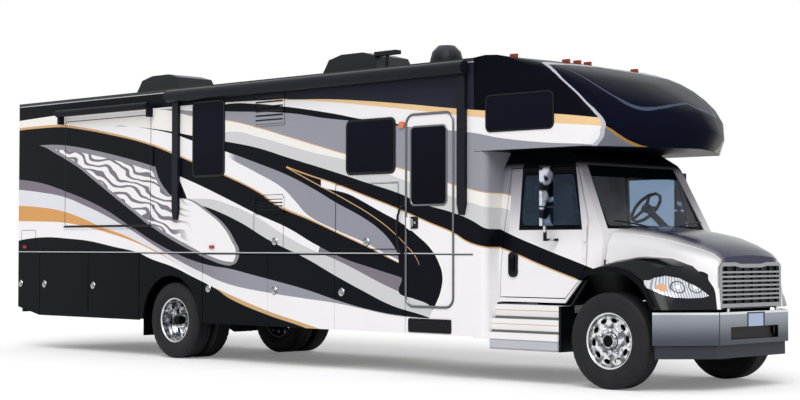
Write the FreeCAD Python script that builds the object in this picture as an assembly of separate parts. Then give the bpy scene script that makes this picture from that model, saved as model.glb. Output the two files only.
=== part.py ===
import FreeCAD, Part
import math
import os

os.makedirs("parts", exist_ok=True)
V = FreeCAD.Vector

# Motorhome on a bonneted truck chassis, millimetres.
# +X forward, +Y to the vehicle's left, +Z up, origin on the road under the middle of the vehicle.

# Overall sizes
overall_length = 11950.0
body_width = 2540.0
wheelbase = 7200.0
front_overhang = 1020.0
hood_nose_ahead = 955.0
rear_reach = 70.0
side_reach = 165.0

# Fits shared by all pieces
seat_gap = 0.3
panel_gap = 8.0
overrun = 20.0
flat_limit = 0.001
corner_steps = 3

# Heights of the coach body
skirt_z = 490.0
skirt_height = 900.0
skirt_tuck = 108.0
wall_height = 2150.0
roof_edge_height = 50.0
roof_crown = 60.0
overcab_height = 1050.0

# Coach body panels
wall_thickness = 50.0
floor_thickness = 60.0
roof_thickness = 45.0
rear_wall_thickness = 60.0
rear_corner_radius = 55.0
belt_strip_height = 24.0
belt_strip_proud = 8.0

# Wheels and axles
shaft_sides = 12
slim_sides = 8
few_sides = 6
tyre_radius = 505.0
tyre_width = 275.0
tyre_crown_width = 215.0
tyre_shoulder_drop = 22.0
tyre_bead_radius = 318.0
tyre_bead_half = 112.0
tyre_wall_radius = 400.0
rim_radius = 290.0
rim_wall = 14.0
rim_half = 117.0
rim_sides = 20
disc_face_offset = 88.0
disc_thickness = 36.0
hand_hole_radius = 21.0
hand_hole_circle = 218.0
hand_hole_count = 10
front_hub_proud = 45.0
rear_disc_offset = -88.0
rear_hub_proud = 70.0
hub_radius = 60.0
hub_cap_radius = 88.0
front_track_half = 1050.0
twin_outer_half = 1083.0
twin_spacing = 322.0
kingpin_half = 900.0

# Chassis
rail_half = 430.0
rail_width = 80.0
rail_height = 220.0
rail_web = 10.0
rail_top_z = 870.0
crossmember_width = 70.0
crossmember_shares = (0.06, 0.24, 0.42, 0.6, 0.78)
joist_height = 100.0
beam_height = 110.0
beam_width = 120.0
beam_drop = 60.0
kingpin_boss_radius = 50.0
knuckle_web = 62.0
knuckle_reach = 80.0
spring_length = 1300.0
spring_width = 76.0
spring_height = 60.0
axle_tube_radius = 70.0
differential_radius = 190.0
differential_length = 330.0
drive_shaft_radius = 50.0
mud_flap_thickness = 10.0
mud_flap_height = 560.0
mud_flap_road_gap = 280.0
mud_flap_behind = 640.0

# Storage bays below the belt line
rear_corner_length = 600.0
arch_rear = 690.0
arch_front = 670.0
arch_radius = 600.0
arch_sides = 20
arch_panel_thickness = 35.0
entry_panel_length = 1056.0
bay_depth = 720.0
bay_wall = 25.0
bay_post = 45.0
bay_door_thickness = 32.0
rear_bay_shares = (0.0, 0.504, 1.0)
front_bay_shares = (0.0, 0.349, 0.679, 1.0)
latch_radius = 26.0
latch_proud = 5.0
latch_inset = 120.0
latch_drop_share = 0.5
hinge_bead_radius = 5.0

# Entry door and its stairwell
entry_door_width = 730.0
entry_door_front = 306.0
entry_door_sill = 310.0
entry_door_height = 2200.0
entry_door_thickness = 35.0
entry_corner_radius = 90.0
entry_handle_rise = 946.0
entry_window_width = 560.0
entry_window_height = 900.0
entry_window_sill = 1160.0
entry_window_rear = 70.0
stair_depth = 640.0
stair_count = 3
stair_wall = 20.0

# Windows in the coach walls: gaps run rearwards from the neighbour ahead, sills up from the belt
window_corner_radius = 60.0
window_frame_proud = 6.0
window_pane = 30.0
tall_window_gap = 600.0
tall_window_sill = 1010.0
tall_window_length = 630.0
tall_window_height = 980.0
dinette_window_gap = 190.0
dinette_window_sill = 960.0
dinette_window_length = 800.0
dinette_window_height = 630.0
bunk_window_behind = 1610.0
bunk_window_rise = 210.0
bunk_window_length = 960.0
bunk_window_height = 405.0
rear_side_window_gap = 1470.0

# Hatch for the outdoor television
hatch_gap = 130.0
hatch_length = 1060.0
hatch_sill = 62.0
hatch_height = 780.0
hatch_depth = 260.0
hatch_wall = 15.0

# Louvred vents of the refrigerator
vent_gap = 1120.0
vent_length = 560.0
upper_vent_sill = 1610.0
upper_vent_height = 440.0
lower_vent_sill = 500.0
lower_vent_height = 210.0
vent_proud = 5.0
vent_slat_count = 5
vent_slat_shares = (0.2, 0.0, 0.4, 0.6)

# Slide rooms
slide_wall = 40.0
slide_clearance = 12.0
slide_flange = 40.0
slide_flange_proud = 14.0
right_slide_gap = 890.0
right_slide_length = 2000.0
right_slide_sill = 385.0
right_slide_height = 1495.0
right_slide_depth = 760.0
left_slide_gap = 1106.0
left_slide_length = 4300.0
left_slide_sill = 72.0
left_slide_height = 1880.0
left_slide_depth = 900.0
left_slide_window_length = 1200.0
left_slide_window_height = 600.0
left_slide_window_sill = 800.0
topper_radius = 50.0
topper_overlap = 60.0
topper_rise = 110.0

# Awning on the right wall
awning_gap = 56.0
awning_length = 5320.0
awning_radius = 80.0
awning_drop = 60.0
awning_arm_width = 120.0
awning_arm_thickness = 45.0
awning_arm_length = 1640.0
awning_arm_inset = 40.0

# Roof fittings
conditioner_length = 1050.0
conditioner_width = 700.0
conditioner_height = 300.0
conditioner_taper = 110.0
rear_conditioner_share = 0.767
front_conditioner_share = 0.328
dome_share = 0.14
dome_offset = -350.0
dome_radius = 205.0
dome_skirt = 90.0
dome_steps = 3
dome_sides = 12
vent_dome_share = 0.595
vent_dome_length = 420.0
vent_dome_height = 90.0
aerial_share = 0.262
aerial_offset = -250.0
aerial_span = 380.0
aerial_mast_radius = 25.0
aerial_height = 300.0
aerial_head = 50.0

# Overcab front cap
cap_shell = 45.0
cap_nose_ahead = 460.0
cap_spread_power = 1.3
cap_edge_share = 0.88
cap_side_behind = (1334.0, 967.0, 610.0, 286.0, 94.0, 110.0, 176.0)
cap_side_height_shares = (0.985, 0.907, 0.771, 0.559, 0.307, 0.1, 0.0)
cap_centre_ahead_shares = (-2.5, -1.3, -0.5, 0.15, 0.97, 0.96, 0.76)
cap_centre_height_shares = (0.965, 0.82, 0.69, 0.53, 0.22, 0.1, 0.0)
cap_edge_pull = (0.0, 50.0, 120.0, 160.0, 160.0, 140.0, 100.0)
cap_edge_drop = (0.0, 35.0, 60.0, 70.0, 45.0, 0.0, 0.0)
cap_station_shares = (0.0, 0.34, 0.66, 0.87, 0.95, 1.0)
cap_outline_steps = 13
cap_hollow_shares = (0.0, 0.45, 0.88, 1.0)
cap_hollow_steps = 7
clearance_lamp_shares = (-0.88, -0.16, 0.0, 0.15, 0.86)
clearance_lamp_length = 90.0
clearance_lamp_width = 40.0
clearance_lamp_height = 35.0

# Step from the coach to the cab
surround_depth = 174.0
surround_corner_radius = 150.0
surround_bottom_z = 470.0
pass_width = 1300.0
pass_height = 1020.0

# Cab
cab_set_back = 1620.0
cab_half_width = 1040.0
cab_floor_z = 880.0
cab_panel = 42.0
cab_glass_inset = 14.0
cab_glass_thickness = 8.0
cab_roof_half = 830.0
cab_belt_z = 1640.0
cab_eaves_z = 2370.0
cab_eaves_half = 945.0
cowl_behind = 190.0
cowl_z = 1630.0
windshield_top_behind = 590.0
windshield_top_z = 2420.0
windshield_half_base = 900.0
windshield_half_top = 800.0
windshield_sill_rise = 50.0
windshield_head_drop = 45.0
toe_behind = 700.0
arch_point_behind = 450.0
arch_point_z = 1150.0
door_rear_top_behind = 1500.0
door_rear_low_behind = 1610.0
door_front_behind = 400.0
door_bottom_z = 935.0
door_toe_behind = 700.0
door_knee_behind = 500.0
door_knee_z = 1130.0
door_shoulder_z = 1770.0
door_head_z = 2350.0
door_head_behind = 580.0
door_head_rear_z = 2350.0
door_gap = 12.0
glass_behind = (1330.0, 1300.0, 1225.0, 525.0, 490.0, 620.0, 665.0, 735.0, 1270.0, 1318.0)
glass_z = (1780.0, 1712.0, 1690.0, 1690.0, 1735.0, 2235.0, 2278.0, 2300.0, 2300.0, 2255.0)
door_handle_inset = 170.0
door_handle_z = 1290.0
door_handle_height = 150.0
door_handle_width = 60.0
door_handle_proud = 30.0
door_hinge_half = 1050.0
door_hinge_radius = 12.0

# Cab interior
dash_depth = 420.0
dash_top_z = 1700.0
dash_height = 330.0
dash_foot_share = 0.8
seat_half_spacing = 450.0
seat_width = 500.0
seat_length = 500.0
seat_thickness = 130.0
seat_top_z = 1480.0
seat_behind = 1050.0
seat_back_height = 680.0
seat_back_lean = 90.0
steering_wheel_radius = 225.0
steering_wheel_rim = 15.0
steering_wheel_sides = 12
steering_wheel_behind = 700.0
steering_wheel_z = 1930.0
steering_wheel_tilt = 40.0
steering_hub_radius = 60.0
steering_hub_depth = 45.0
steering_spoke_width = 40.0
column_radius = 40.0
column_length = 400.0

# Mirrors
mirror_reach = 290.0
mirror_head_width = 190.0
mirror_head_height = 430.0
mirror_head_depth = 80.0
mirror_head_z = 1923.0
mirror_behind = 760.0
mirror_convex_height = 195.0
mirror_stem_radius = 14.0
mirror_foot_z = 1560.0

# Hood and fenders
hood_wall = 28.0
hood_tail_ahead = -180.0
cab_clearance = 10.0
hood_skirt_z = 950.0
hood_station_ahead = (hood_tail_ahead, 150.0, 445.0, 700.0, 880.0, hood_nose_ahead)
hood_station_half = (985.0, 915.0, 830.0, 730.0, 650.0, 612.0)
hood_station_crown_z = (1715.0, 1680.0, 1622.0, 1540.0, 1465.0, 1400.0)
hood_station_side_z = (1300.0, 1300.0, 1280.0, 1240.0, 1200.0, 1180.0)
hood_across_shares = (1.0, 0.97, 0.89, 0.74, 0.42, 0.0)
hood_rise_shares = (0.0, 0.5, 0.78, 0.89, 0.965, 1.0)
fender_half = 1170.0
fender_root_half = 580.0
fender_lip_z = 845.0
fender_line_ahead = (-236.0, 40.0, 310.0, 560.0, 760.0, 900.0, 965.0, 985.0)
fender_line_z = (1268.0, 1345.0, 1385.0, 1365.0, 1290.0, 1180.0, 1060.0, 845.0)
fender_pull_shares = (0.0, 0.0, 0.0, 0.15, 0.38, 0.8, 1.0, 0.72)
fender_drop_shares = (0.6, 1.0, 1.0, 1.0, 1.0, 0.6, 0.0, 0.0)
fender_rows = ((580.0, 0.0, 0.0), (780.0, 105.0, 0.0), (970.0, 240.0, 0.0), (1095.0, 355.0, 7.0),
               (1148.0, 428.0, 29.0), (1170.0, 480.0, 70.0))
arch_line_ahead = (-256.0, -37.0, 103.0, 242.0, 378.0, 459.0, 526.0, 540.0)
arch_line_z = (1185.0, 1216.0, 1218.0, 1182.0, 1094.0, 996.0, 876.0, 805.0)
grille_half = 580.0
grille_bottom_z = 860.0
grille_top_z = 1326.0
grille_dip = 16.0
grille_frame = 40.0
grille_proud = 22.0
grille_bar_count = 7
grille_bar_height = 20.0
flare_width = 62.0
flare_proud = 12.0
hood_pivot_behind_nose = 30.0
hood_pivot_half = 430.0
hood_pin_radius = 7.0
hood_ear_radius = 13.0
hood_ear_width = 15.0
hood_lug_half = 9.0

# Headlamps
headlamp_front_ahead = 1000.0
headlamp_rear_ahead = 450.0
headlamp_across = (695.0, 760.0, 900.0, 1030.0, 1110.0, 1165.0, 1200.0, 1150.0, 1060.0, 940.0, 820.0, 730.0)
headlamp_z = (985.0, 968.0, 962.0, 970.0, 1000.0, 1060.0, 1105.0, 1168.0, 1190.0, 1165.0, 1095.0, 1020.0)

# Front bumper and air dam
bumper_flat_half = 650.0
bumper_half = 1180.0
bumper_tip_ahead = 560.0
bumper_knee_back = 115.0
bumper_knee_half = 800.0
bumper_bottom_z = 480.0
bumper_top_z = 815.0
bumper_wall = 45.0
bumper_slot_half = 450.0
bumper_slot_bottom_z = 530.0
bumper_slot_top_z = 660.0
air_dam_bottom_z = 340.0
air_dam_set_back = 40.0

# Cab steps and quarter fenders
guard_half = 985.0
step_half = 1200.0
step_root_half = 940.0
step_front_behind = 660.0
step_bottom_z = 360.0
step_height = 190.0
step_rise = 150.0
quarter_thickness = 30.0

# Engine block with the radiator ahead of it
engine_length = 900.0
engine_width = 640.0
engine_height = 780.0
engine_front_ahead = 750.0
engine_bottom_z = 540.0
radiator_front_ahead = 870.0
radiator_half = 500.0
radiator_bottom_z = 880.0
radiator_top_z = 1290.0
shaft_drop = 60.0

# Rear bumper, hitch receiver and ladder
rear_bumper_height = 150.0
rear_bumper_z = 520.0
rear_bumper_half = 1150.0
receiver_outer = 63.5
receiver_bore = 50.8
receiver_length = 260.0
receiver_z = 470.0
receiver_pin_radius = 8.0
receiver_pin_inset = 60.0
ladder_half = 190.0
ladder_offset = 800.0
ladder_tube = 13.0
ladder_rung = 10.0
ladder_bottom_z = 1000.0
ladder_rung_count = 7
tail_lamp_height = 420.0
tail_lamp_width = 110.0
tail_lamp_z = 1000.0
tail_lamp_half = 1130.0
tail_lamp_depth = 20.0
marker_tail_gap = 120.0
marker_axle_gap = 820.0
marker_front_gap = 600.0

# Places worked out from the sizes above
half_width = body_width / 2
inner_half = half_width - wall_thickness
tail_x = -overall_length / 2
rear_wall_x = tail_x + rear_reach
front_axle_x = overall_length / 2 - front_overhang
rear_axle_x = front_axle_x - wheelbase
axle_z = tyre_radius
spindle_radius = hub_radius - seat_gap
hub_bore_radius = hub_radius / math.cos(math.radians(180) / shaft_sides)
belt_z = skirt_z + skirt_height
roof_edge_z = belt_z + wall_height
crown_z = roof_edge_z + roof_edge_height + roof_crown
overcab_z = roof_edge_z + roof_edge_height - overcab_height
side_line = half_width + side_reach
cab_back_x = front_axle_x - cab_set_back
cab_top_z = overcab_z - seat_gap
coach_front_x = cab_back_x - surround_depth
wall_rear_x = rear_wall_x + rear_wall_thickness
rear_bays = (rear_wall_x + rear_corner_length, rear_axle_x - arch_rear)
front_bays = (rear_axle_x + arch_front, coach_front_x - entry_panel_length)
bay_front_y = half_width - bay_door_thickness - seat_gap
entry_front_x = coach_front_x - entry_door_front
entry_rear_x = entry_front_x - entry_door_width
hatch_x = entry_rear_x - hatch_gap - hatch_length
dinette_window_x = entry_rear_x - dinette_window_gap - dinette_window_length
vent_x = dinette_window_x - vent_gap - vent_length
tall_window_x = vent_x - tall_window_gap - tall_window_length
right_slide_x = tall_window_x - right_slide_gap - right_slide_length
left_slide_x = coach_front_x - left_slide_gap - left_slide_length
rear_side_window_x = left_slide_x - rear_side_window_gap - tall_window_length
awning_x = coach_front_x - awning_gap - awning_length


def ahead(distance):
    """Station measured forward of the front axle."""
    return front_axle_x + distance


def box(x0, x1, y0, y1, z0, z1):
    low = V(min(x0, x1), min(y0, y1), min(z0, z1))
    return Part.makeBox(abs(x1 - x0), abs(y1 - y0), abs(z1 - z0), low)


def outline_face(points):
    return Part.Face(Part.makePolygon(points + [points[0]]))


def prism_y(outline, y0, y1):
    """Outline of (x, z) points carried along Y."""
    face = outline_face([V(x, y0, z) for x, z in outline])
    return face.extrude(V(0, y1 - y0, 0))


def prism_x(outline, x0, x1):
    """Outline of (y, z) points carried along X."""
    face = outline_face([V(x0, y, z) for y, z in outline])
    return face.extrude(V(x1 - x0, 0, 0))


def prism_z(outline, z0, z1):
    """Outline of (x, y) points carried along Z."""
    face = outline_face([V(x, y, z0) for x, y in outline])
    return face.extrude(V(0, 0, z1 - z0))


def rod(start, end, radius):
    direction = end - start
    return Part.makeCylinder(radius, direction.Length, start, direction)


def across_axes(along):
    """Two unit vectors square to a direction and to each other."""
    across = along.cross(V(0, 0, 1) if along.x else V(1, 0, 0))
    across.normalize()
    return across, across.cross(along)


def ring(centre, along, radius, sides):
    """Closed outline of equal sides about a centre, square to a unit direction."""
    across, upward = across_axes(along)
    corners = []
    for corner in range(sides):
        angle = math.radians(360) * corner / sides
        corners.append(centre + across * (radius * math.cos(angle)) + upward * (radius * math.sin(angle)))
    return corners


def bar(start, end, radius, sides):
    """Straight bar of a few equal sides."""
    direction = end - start
    return outline_face(ring(start, V(direction).normalize(), radius, sides)).extrude(direction)


def flat_faces(corners):
    """One flat face through four corners, or two where they don't lie in one plane."""
    first, second, third, fourth = corners
    normal = (second - first).cross(third - first)
    if abs(normal.dot(fourth - first)) < flat_limit * normal.Length:
        return [outline_face(corners)]
    return [outline_face([first, second, third]), outline_face([first, third, fourth])]


def skinned(sections):
    """Closed form of flat faces through outlines that have equally many corners."""
    faces = [outline_face(sections[0]), outline_face(sections[-1])]
    for near, far in zip(sections[:-1], sections[1:]):
        for corner in range(len(near)):
            after = (corner + 1) % len(near)
            faces += flat_faces([near[corner], near[after], far[after], far[corner]])
    form = Part.makeSolid(Part.makeShell(faces))
    return form if form.Volume > 0 else form.reversed()


def turned(profile, centre, along, sides):
    """Form through rings about an axis; the profile lists (radius, distance along the axis)."""
    return skinned([ring(centre + along * offset, along, radius, sides) for radius, offset in profile])


def spline_points(points, steps):
    """Points spread evenly along a smooth line through the given ones."""
    curve = Part.BSplineCurve()
    curve.interpolate(points)
    return curve.toShape().discretize(steps)


def rounded(solid, radius, along):
    """Round the long straight edges of a box that run along one axis."""
    edges = []
    for edge in solid.Edges:
        run = edge.Vertexes[-1].Point - edge.Vertexes[0].Point
        if abs(run.dot(along)) > run.Length * math.cos(math.radians(1)):
            edges.append(edge)
    size = solid.BoundBox
    across = [s for s, a in zip((size.XLength, size.YLength, size.ZLength), along) if a == 0]
    return solid.makeFillet(min(radius, min(across) * 0.45), edges)


def rounded_panel(x0, x1, y0, y1, z0, z1, radius):
    """Panel across Y whose four corners are rounded in short straight steps."""
    outline = []
    centres = ((x1 - radius, z0 + radius), (x1 - radius, z1 - radius), (x0 + radius, z1 - radius),
               (x0 + radius, z0 + radius))
    for quarter, (x, z) in enumerate(centres):
        for step in range(corner_steps + 1):
            angle = math.radians(90) * (quarter - 1 + step / corner_steps)
            outline.append((x + radius * math.cos(angle), z + radius * math.sin(angle)))
    return prism_y(outline, y0, y1)


def mirrored(shape):
    return shape.mirror(V(0, 0, 0), V(0, 1, 0))


def grouped(shapes):
    return Part.makeCompound(shapes)


def joined(shapes):
    return shapes[0].multiFuse(shapes[1:]).removeSplitter()


def without(shape, tools):
    return shape.cut(grouped(tools) if len(tools) > 1 else tools[0])


def both_sides(shape):
    return grouped([shape, mirrored(shape)])


def save(name, shape):
    shape.exportStep("parts/" + name + ".step")


def line(start, end):
    return Part.makeLine(start, end)


def seams(span, shares):
    """Stations of the seams between neighbouring doors."""
    return [span[0] + (span[1] - span[0]) * share for share in shares]


def window_box(x0, sill, length, height, y0, y1, grow):
    z0 = belt_z + sill
    return rounded_panel(x0 - grow, x0 + length + grow, y0, y1, z0 - grow, z0 + height + grow,
                         window_corner_radius + grow)


# Chassis frame: two channel rails, crossmembers, mud flaps and tow eyes
def chassis_frame():
    rail_front = ahead(front_overhang) - bumper_wall * 2 - overrun
    rail_rear = rear_wall_x + receiver_length
    rail_bottom = rail_top_z - rail_height
    outer = rail_half + rail_width / 2
    inner = rail_half - rail_width / 2
    rail = box(rail_rear, rail_front, inner, outer, rail_bottom, rail_top_z)
    channel = box(rail_rear - overrun, rail_front + overrun, inner - overrun, outer - rail_web,
                  rail_bottom + rail_web, rail_top_z - rail_web)
    pieces = [rail.cut(channel), mirrored(rail.cut(channel))]
    for share in crossmember_shares:
        x = rail_rear + (rail_front - rail_rear) * share
        pieces.append(box(x, x + crossmember_width, -outer + rail_web, outer - rail_web,
                          rail_bottom + rail_web, rail_top_z - rail_web))
        joist_top = belt_z - floor_thickness
        joist_half = half_width - bay_depth - seat_gap
        if x + crossmember_width < coach_front_x:
            pieces.append(box(x, x + crossmember_width, -joist_half, joist_half,
                              joist_top - joist_height, joist_top))
            for side in (-1, 1):
                pieces.append(box(x, x + crossmember_width, side * inner, side * outer,
                                  rail_top_z - rail_web, joist_top - joist_height))
    frame = joined(pieces)
    flap_x = rear_axle_x - mud_flap_behind
    flap_inner = twin_outer_half - twin_spacing - tyre_width / 2
    flap = box(flap_x - mud_flap_thickness, flap_x, outer, half_width - wall_thickness,
               mud_flap_road_gap, mud_flap_road_gap + mud_flap_height)
    hanger = box(flap_x - mud_flap_thickness * 4, flap_x - mud_flap_thickness, outer, flap_inner,
                 mud_flap_road_gap + mud_flap_height - crossmember_width,
                 mud_flap_road_gap + mud_flap_height)
    return joined([frame, flap, hanger, mirrored(flap), mirrored(hanger)])


# Axles with their leaf springs
def leaf_spring(axle_x, top_z):
    spring = box(axle_x - spring_length / 2, axle_x + spring_length / 2, rail_half - spring_width / 2,
                 rail_half + spring_width / 2, top_z - spring_height, top_z)
    rail_bottom = rail_top_z - rail_height
    ends = []
    for end in (-1, 1):
        x = axle_x + end * (spring_length - spring_height) / 2
        ends.append(box(x - spring_height / 2, x + spring_height / 2, rail_half - spring_width / 2,
                        rail_half + spring_width / 2, top_z, rail_bottom))
    return joined([spring] + ends)


def front_axle():
    beam_top = axle_z - beam_drop
    beam = box(front_axle_x - beam_width / 2, front_axle_x + beam_width / 2, -kingpin_half, kingpin_half,
               beam_top - beam_height, beam_top)
    pieces = [beam]
    for side in (-1, 1):
        foot = V(front_axle_x, side * kingpin_half, beam_top - beam_height)
        pieces.append(bar(foot, foot + V(0, 0, beam_height + beam_drop * 2), kingpin_boss_radius,
                          shaft_sides))
    spring = leaf_spring(front_axle_x, beam_top + spring_height)
    return joined(pieces + [spring, mirrored(spring)])


def rear_axle():
    reach = twin_outer_half + tyre_width / 2 - wall_thickness
    tube = bar(V(rear_axle_x, -reach, axle_z), V(rear_axle_x, reach, axle_z), spindle_radius, shaft_sides)
    inner = twin_outer_half - twin_spacing - tyre_width / 2 - wall_thickness
    housing = bar(V(rear_axle_x, -inner, axle_z), V(rear_axle_x, inner, axle_z), axle_tube_radius,
                  slim_sides)
    bowl = bar(V(rear_axle_x, -differential_length / 2, axle_z),
               V(rear_axle_x, differential_length / 2, axle_z), differential_radius, slim_sides)
    engine_rear = ahead(engine_front_ahead - engine_length)
    shaft_front = V(engine_rear - seat_gap, 0, rail_top_z - rail_height - shaft_drop)
    shaft = bar(V(rear_axle_x, 0, axle_z), shaft_front, drive_shaft_radius, slim_sides).cut(engine_block())
    spring = leaf_spring(rear_axle_x, axle_z + axle_tube_radius + spring_height)
    return joined([tube, housing, bowl, shaft, spring, mirrored(spring)])


def axles():
    return grouped([front_axle(), rear_axle()])


def engine_block():
    x1 = ahead(engine_front_ahead)
    engine = box(x1 - engine_length, x1, -engine_width / 2, engine_width / 2, engine_bottom_z,
                 engine_bottom_z + engine_height)
    radiator = box(x1 - overrun, ahead(radiator_front_ahead), -radiator_half, radiator_half,
                   radiator_bottom_z, radiator_top_z)
    return joined([engine, radiator])


# Storage bays outboard of the rails, open to the side behind their doors
def bay_block(span, shares):
    y0 = half_width - bay_depth
    z0 = skirt_z + overrun
    z1 = belt_z - floor_thickness
    stations = seams(span, shares)
    block = box(stations[0], stations[-1], y0, bay_front_y, z0, z1)
    pockets = []
    for left, right in zip(stations[:-1], stations[1:]):
        pockets.append(box(left + bay_post / 2, right - bay_post / 2, y0 + bay_wall, half_width + overrun,
                           z0 + bay_wall, z1 - bay_wall))
    return without(block, pockets)


def arch_panel():
    """Fixed skin above the rear wheels with its round opening."""
    x0 = rear_bays[1] + panel_gap
    x1 = front_bays[0] - panel_gap
    z1 = belt_z - floor_thickness
    skin = box(x0, x1, half_width - arch_panel_thickness, half_width, axle_z, belt_z)
    opening = bar(V(rear_axle_x, half_width - bay_depth, axle_z),
                  V(rear_axle_x, half_width + overrun, axle_z), arch_radius, arch_sides)
    liner = box(x0, x1, half_width - bay_depth, half_width, z1 - bay_wall * 2, z1)
    return joined([skin, liner]).cut(opening)


def rear_corner_panel():
    """Fixed lower corner skin behind the last baggage door, tucked up towards the tail."""
    x0 = wall_rear_x
    x1 = rear_bays[0]
    tuck = skirt_z + skirt_tuck
    outline = [(x0, tuck), (x1 - panel_gap, skirt_z), (x1 - panel_gap, belt_z), (x0, belt_z)]
    skin = prism_y(outline, half_width - bay_door_thickness, half_width)
    inner = box(x0, x1, half_width - bay_depth, bay_front_y, belt_z - floor_thickness - bay_wall * 2,
                belt_z - floor_thickness)
    return joined([skin, inner])


def left_filler(span, shares, index):
    """Fixed skin over a bay that has no door of its own."""
    stations = seams(span, shares)
    return box(stations[index] + panel_gap, stations[index + 1] - panel_gap, bay_front_y, half_width,
               skirt_z, belt_z)


def front_corner_panel():
    """Fixed skirt between the last bay and the step to the cab."""
    return box(front_bays[1] + panel_gap, coach_front_x, half_width - wall_thickness, half_width,
               skirt_z, belt_z)


def entry_corner_panel():
    """The same skirt with the lower part of the entry door's opening taken out of it."""
    opening = entry_box(inner_half - overrun, half_width + overrun, -overrun)
    rebate = entry_box(half_width - entry_door_thickness - seat_gap, half_width + overrun, panel_gap)
    return front_corner_panel().cut(grouped([opening, rebate]))


def storage_bays():
    rear = bay_block(rear_bays, rear_bay_shares)
    front = bay_block(front_bays, front_bay_shares)
    arch = arch_panel()
    corner = rear_corner_panel()
    right = [mirrored(joined([rear, arch, front, corner])), mirrored(entry_corner_panel())]
    left = [rear, arch, front, corner, left_filler(rear_bays, rear_bay_shares, 1),
            left_filler(front_bays, front_bay_shares, 0), left_filler(front_bays, front_bay_shares, 2),
            front_corner_panel()]
    return grouped(right + [joined(left)])


# Coach floor with the stairwell behind the entry door
def coach_floor():
    x0, x1 = entry_rear_x, entry_front_x
    slab = box(wall_rear_x, coach_front_x, -inner_half, inner_half, belt_z - floor_thickness, belt_z)
    well = box(x0, x1, -inner_half - overrun, -inner_half + stair_depth, skirt_z, belt_z + overrun)
    tub_bottom = skirt_z + entry_door_sill - stair_wall
    tub = box(x0 - stair_wall, x1 + stair_wall, -inner_half, -inner_half + stair_depth + stair_wall,
              tub_bottom, belt_z - floor_thickness)
    hollow = box(x0, x1, -inner_half - overrun, -inner_half + stair_depth, tub_bottom + stair_wall,
                 belt_z + overrun)
    pieces = [slab.cut(well), tub.cut(hollow)]
    rise = (belt_z - tub_bottom) / (stair_count + 1)
    run = stair_depth / (stair_count + 1)
    for step in range(stair_count):
        pieces.append(box(x0 - stair_wall / 2, x1 + stair_wall / 2, -inner_half + run * (step + 1),
                          -inner_half + stair_depth + stair_wall / 2, tub_bottom,
                          tub_bottom + rise * (step + 1)))
    return joined(pieces)


# Coach walls
def wall_skin():
    wall = box(wall_rear_x, coach_front_x, inner_half, half_width, belt_z, roof_edge_z)
    strip = box(wall_rear_x, coach_front_x, half_width - overrun, half_width + belt_strip_proud,
                belt_z, belt_z + belt_strip_height)
    return wall, strip


def slide_opening(x0, sill, length, height):
    z0 = belt_z + sill
    grow = slide_clearance
    return box(x0 - grow, x0 + length + grow, inner_half - overrun, half_width + overrun, z0 - grow,
               z0 + height + grow)


def vent_box(sill, height, y1, grow):
    x0 = vent_x
    z0 = belt_z + sill
    return box(x0 - grow, x0 + vent_length + grow, inner_half, y1, z0 - grow, z0 + height + grow)


def hatch_box(y0, y1, grow):
    x0 = hatch_x
    z0 = belt_z + hatch_sill
    return box(x0 - grow, x0 + hatch_length + grow, y0, y1, z0 - grow, z0 + hatch_height + grow)


def entry_box(y0, y1, grow):
    x0, x1 = entry_rear_x, entry_front_x
    z0 = skirt_z + entry_door_sill
    return rounded_panel(x0 - grow, x1 + grow, y0, y1, z0 - grow, z0 + entry_door_height + grow,
                         entry_corner_radius + grow)


def hatch_pocket():
    """Open box behind the hatch that holds the outdoor television."""
    y0 = half_width - hatch_depth
    shell = hatch_box(y0 - hatch_wall, inner_half - seat_gap, -overrun)
    return mirrored(shell.cut(hatch_box(y0, half_width, -overrun - hatch_wall)))


def wall_right():
    wall, strip = wall_skin()
    right = joined([wall, strip])
    inside = inner_half - overrun
    outside = half_width + overrun
    cuts = [window_box(tall_window_x, tall_window_sill, tall_window_length, tall_window_height,
                       inside, outside, seat_gap),
            window_box(dinette_window_x, dinette_window_sill, dinette_window_length,
                       dinette_window_height, inside, outside, seat_gap),
            slide_opening(right_slide_x, right_slide_sill, right_slide_length, right_slide_height),
            vent_box(upper_vent_sill, upper_vent_height, outside, seat_gap),
            vent_box(lower_vent_sill, lower_vent_height, outside, seat_gap),
            hatch_box(inside, outside, -overrun - hatch_wall),
            hatch_box(half_width - bay_door_thickness - seat_gap, outside, panel_gap),
            entry_box(inside, outside, -overrun),
            entry_box(half_width - entry_door_thickness - seat_gap, outside, panel_gap)]
    return mirrored(right.cut(grouped(cuts)))


def wall_left():
    wall, strip = wall_skin()
    cuts = [slide_opening(left_slide_x, left_slide_sill, left_slide_length, left_slide_height),
            window_box(rear_side_window_x, tall_window_sill, tall_window_length,
                       dinette_window_height, inner_half - overrun, half_width + overrun, seat_gap)]
    return joined([wall, strip]).cut(grouped(cuts))


def rear_wall():
    z1 = roof_edge_z + roof_edge_height
    panel = box(rear_wall_x, wall_rear_x, -half_width, half_width,
                skirt_z + skirt_tuck, z1)
    edges = []
    for edge in panel.Edges:
        middle = edge.CenterOfMass
        if abs(middle.x - rear_wall_x) < 1 and abs(middle.y) > half_width - 1:
            edges.append(edge)
    return panel.makeFillet(min(rear_corner_radius, rear_wall_thickness * 0.9), edges)


def roof_outline(edge_z, crown, half):
    """Closed wire of the crowned roof section at the origin station."""
    low = roof_edge_z
    arc = Part.Arc(V(0, -half, edge_z), V(0, 0, crown), V(0, half, edge_z)).toShape()
    sides = [line(V(0, half, edge_z), V(0, half, low)), line(V(0, half, low), V(0, -half, low)),
             line(V(0, -half, low), V(0, -half, edge_z))]
    return Part.Wire([arc] + sides)


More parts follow.
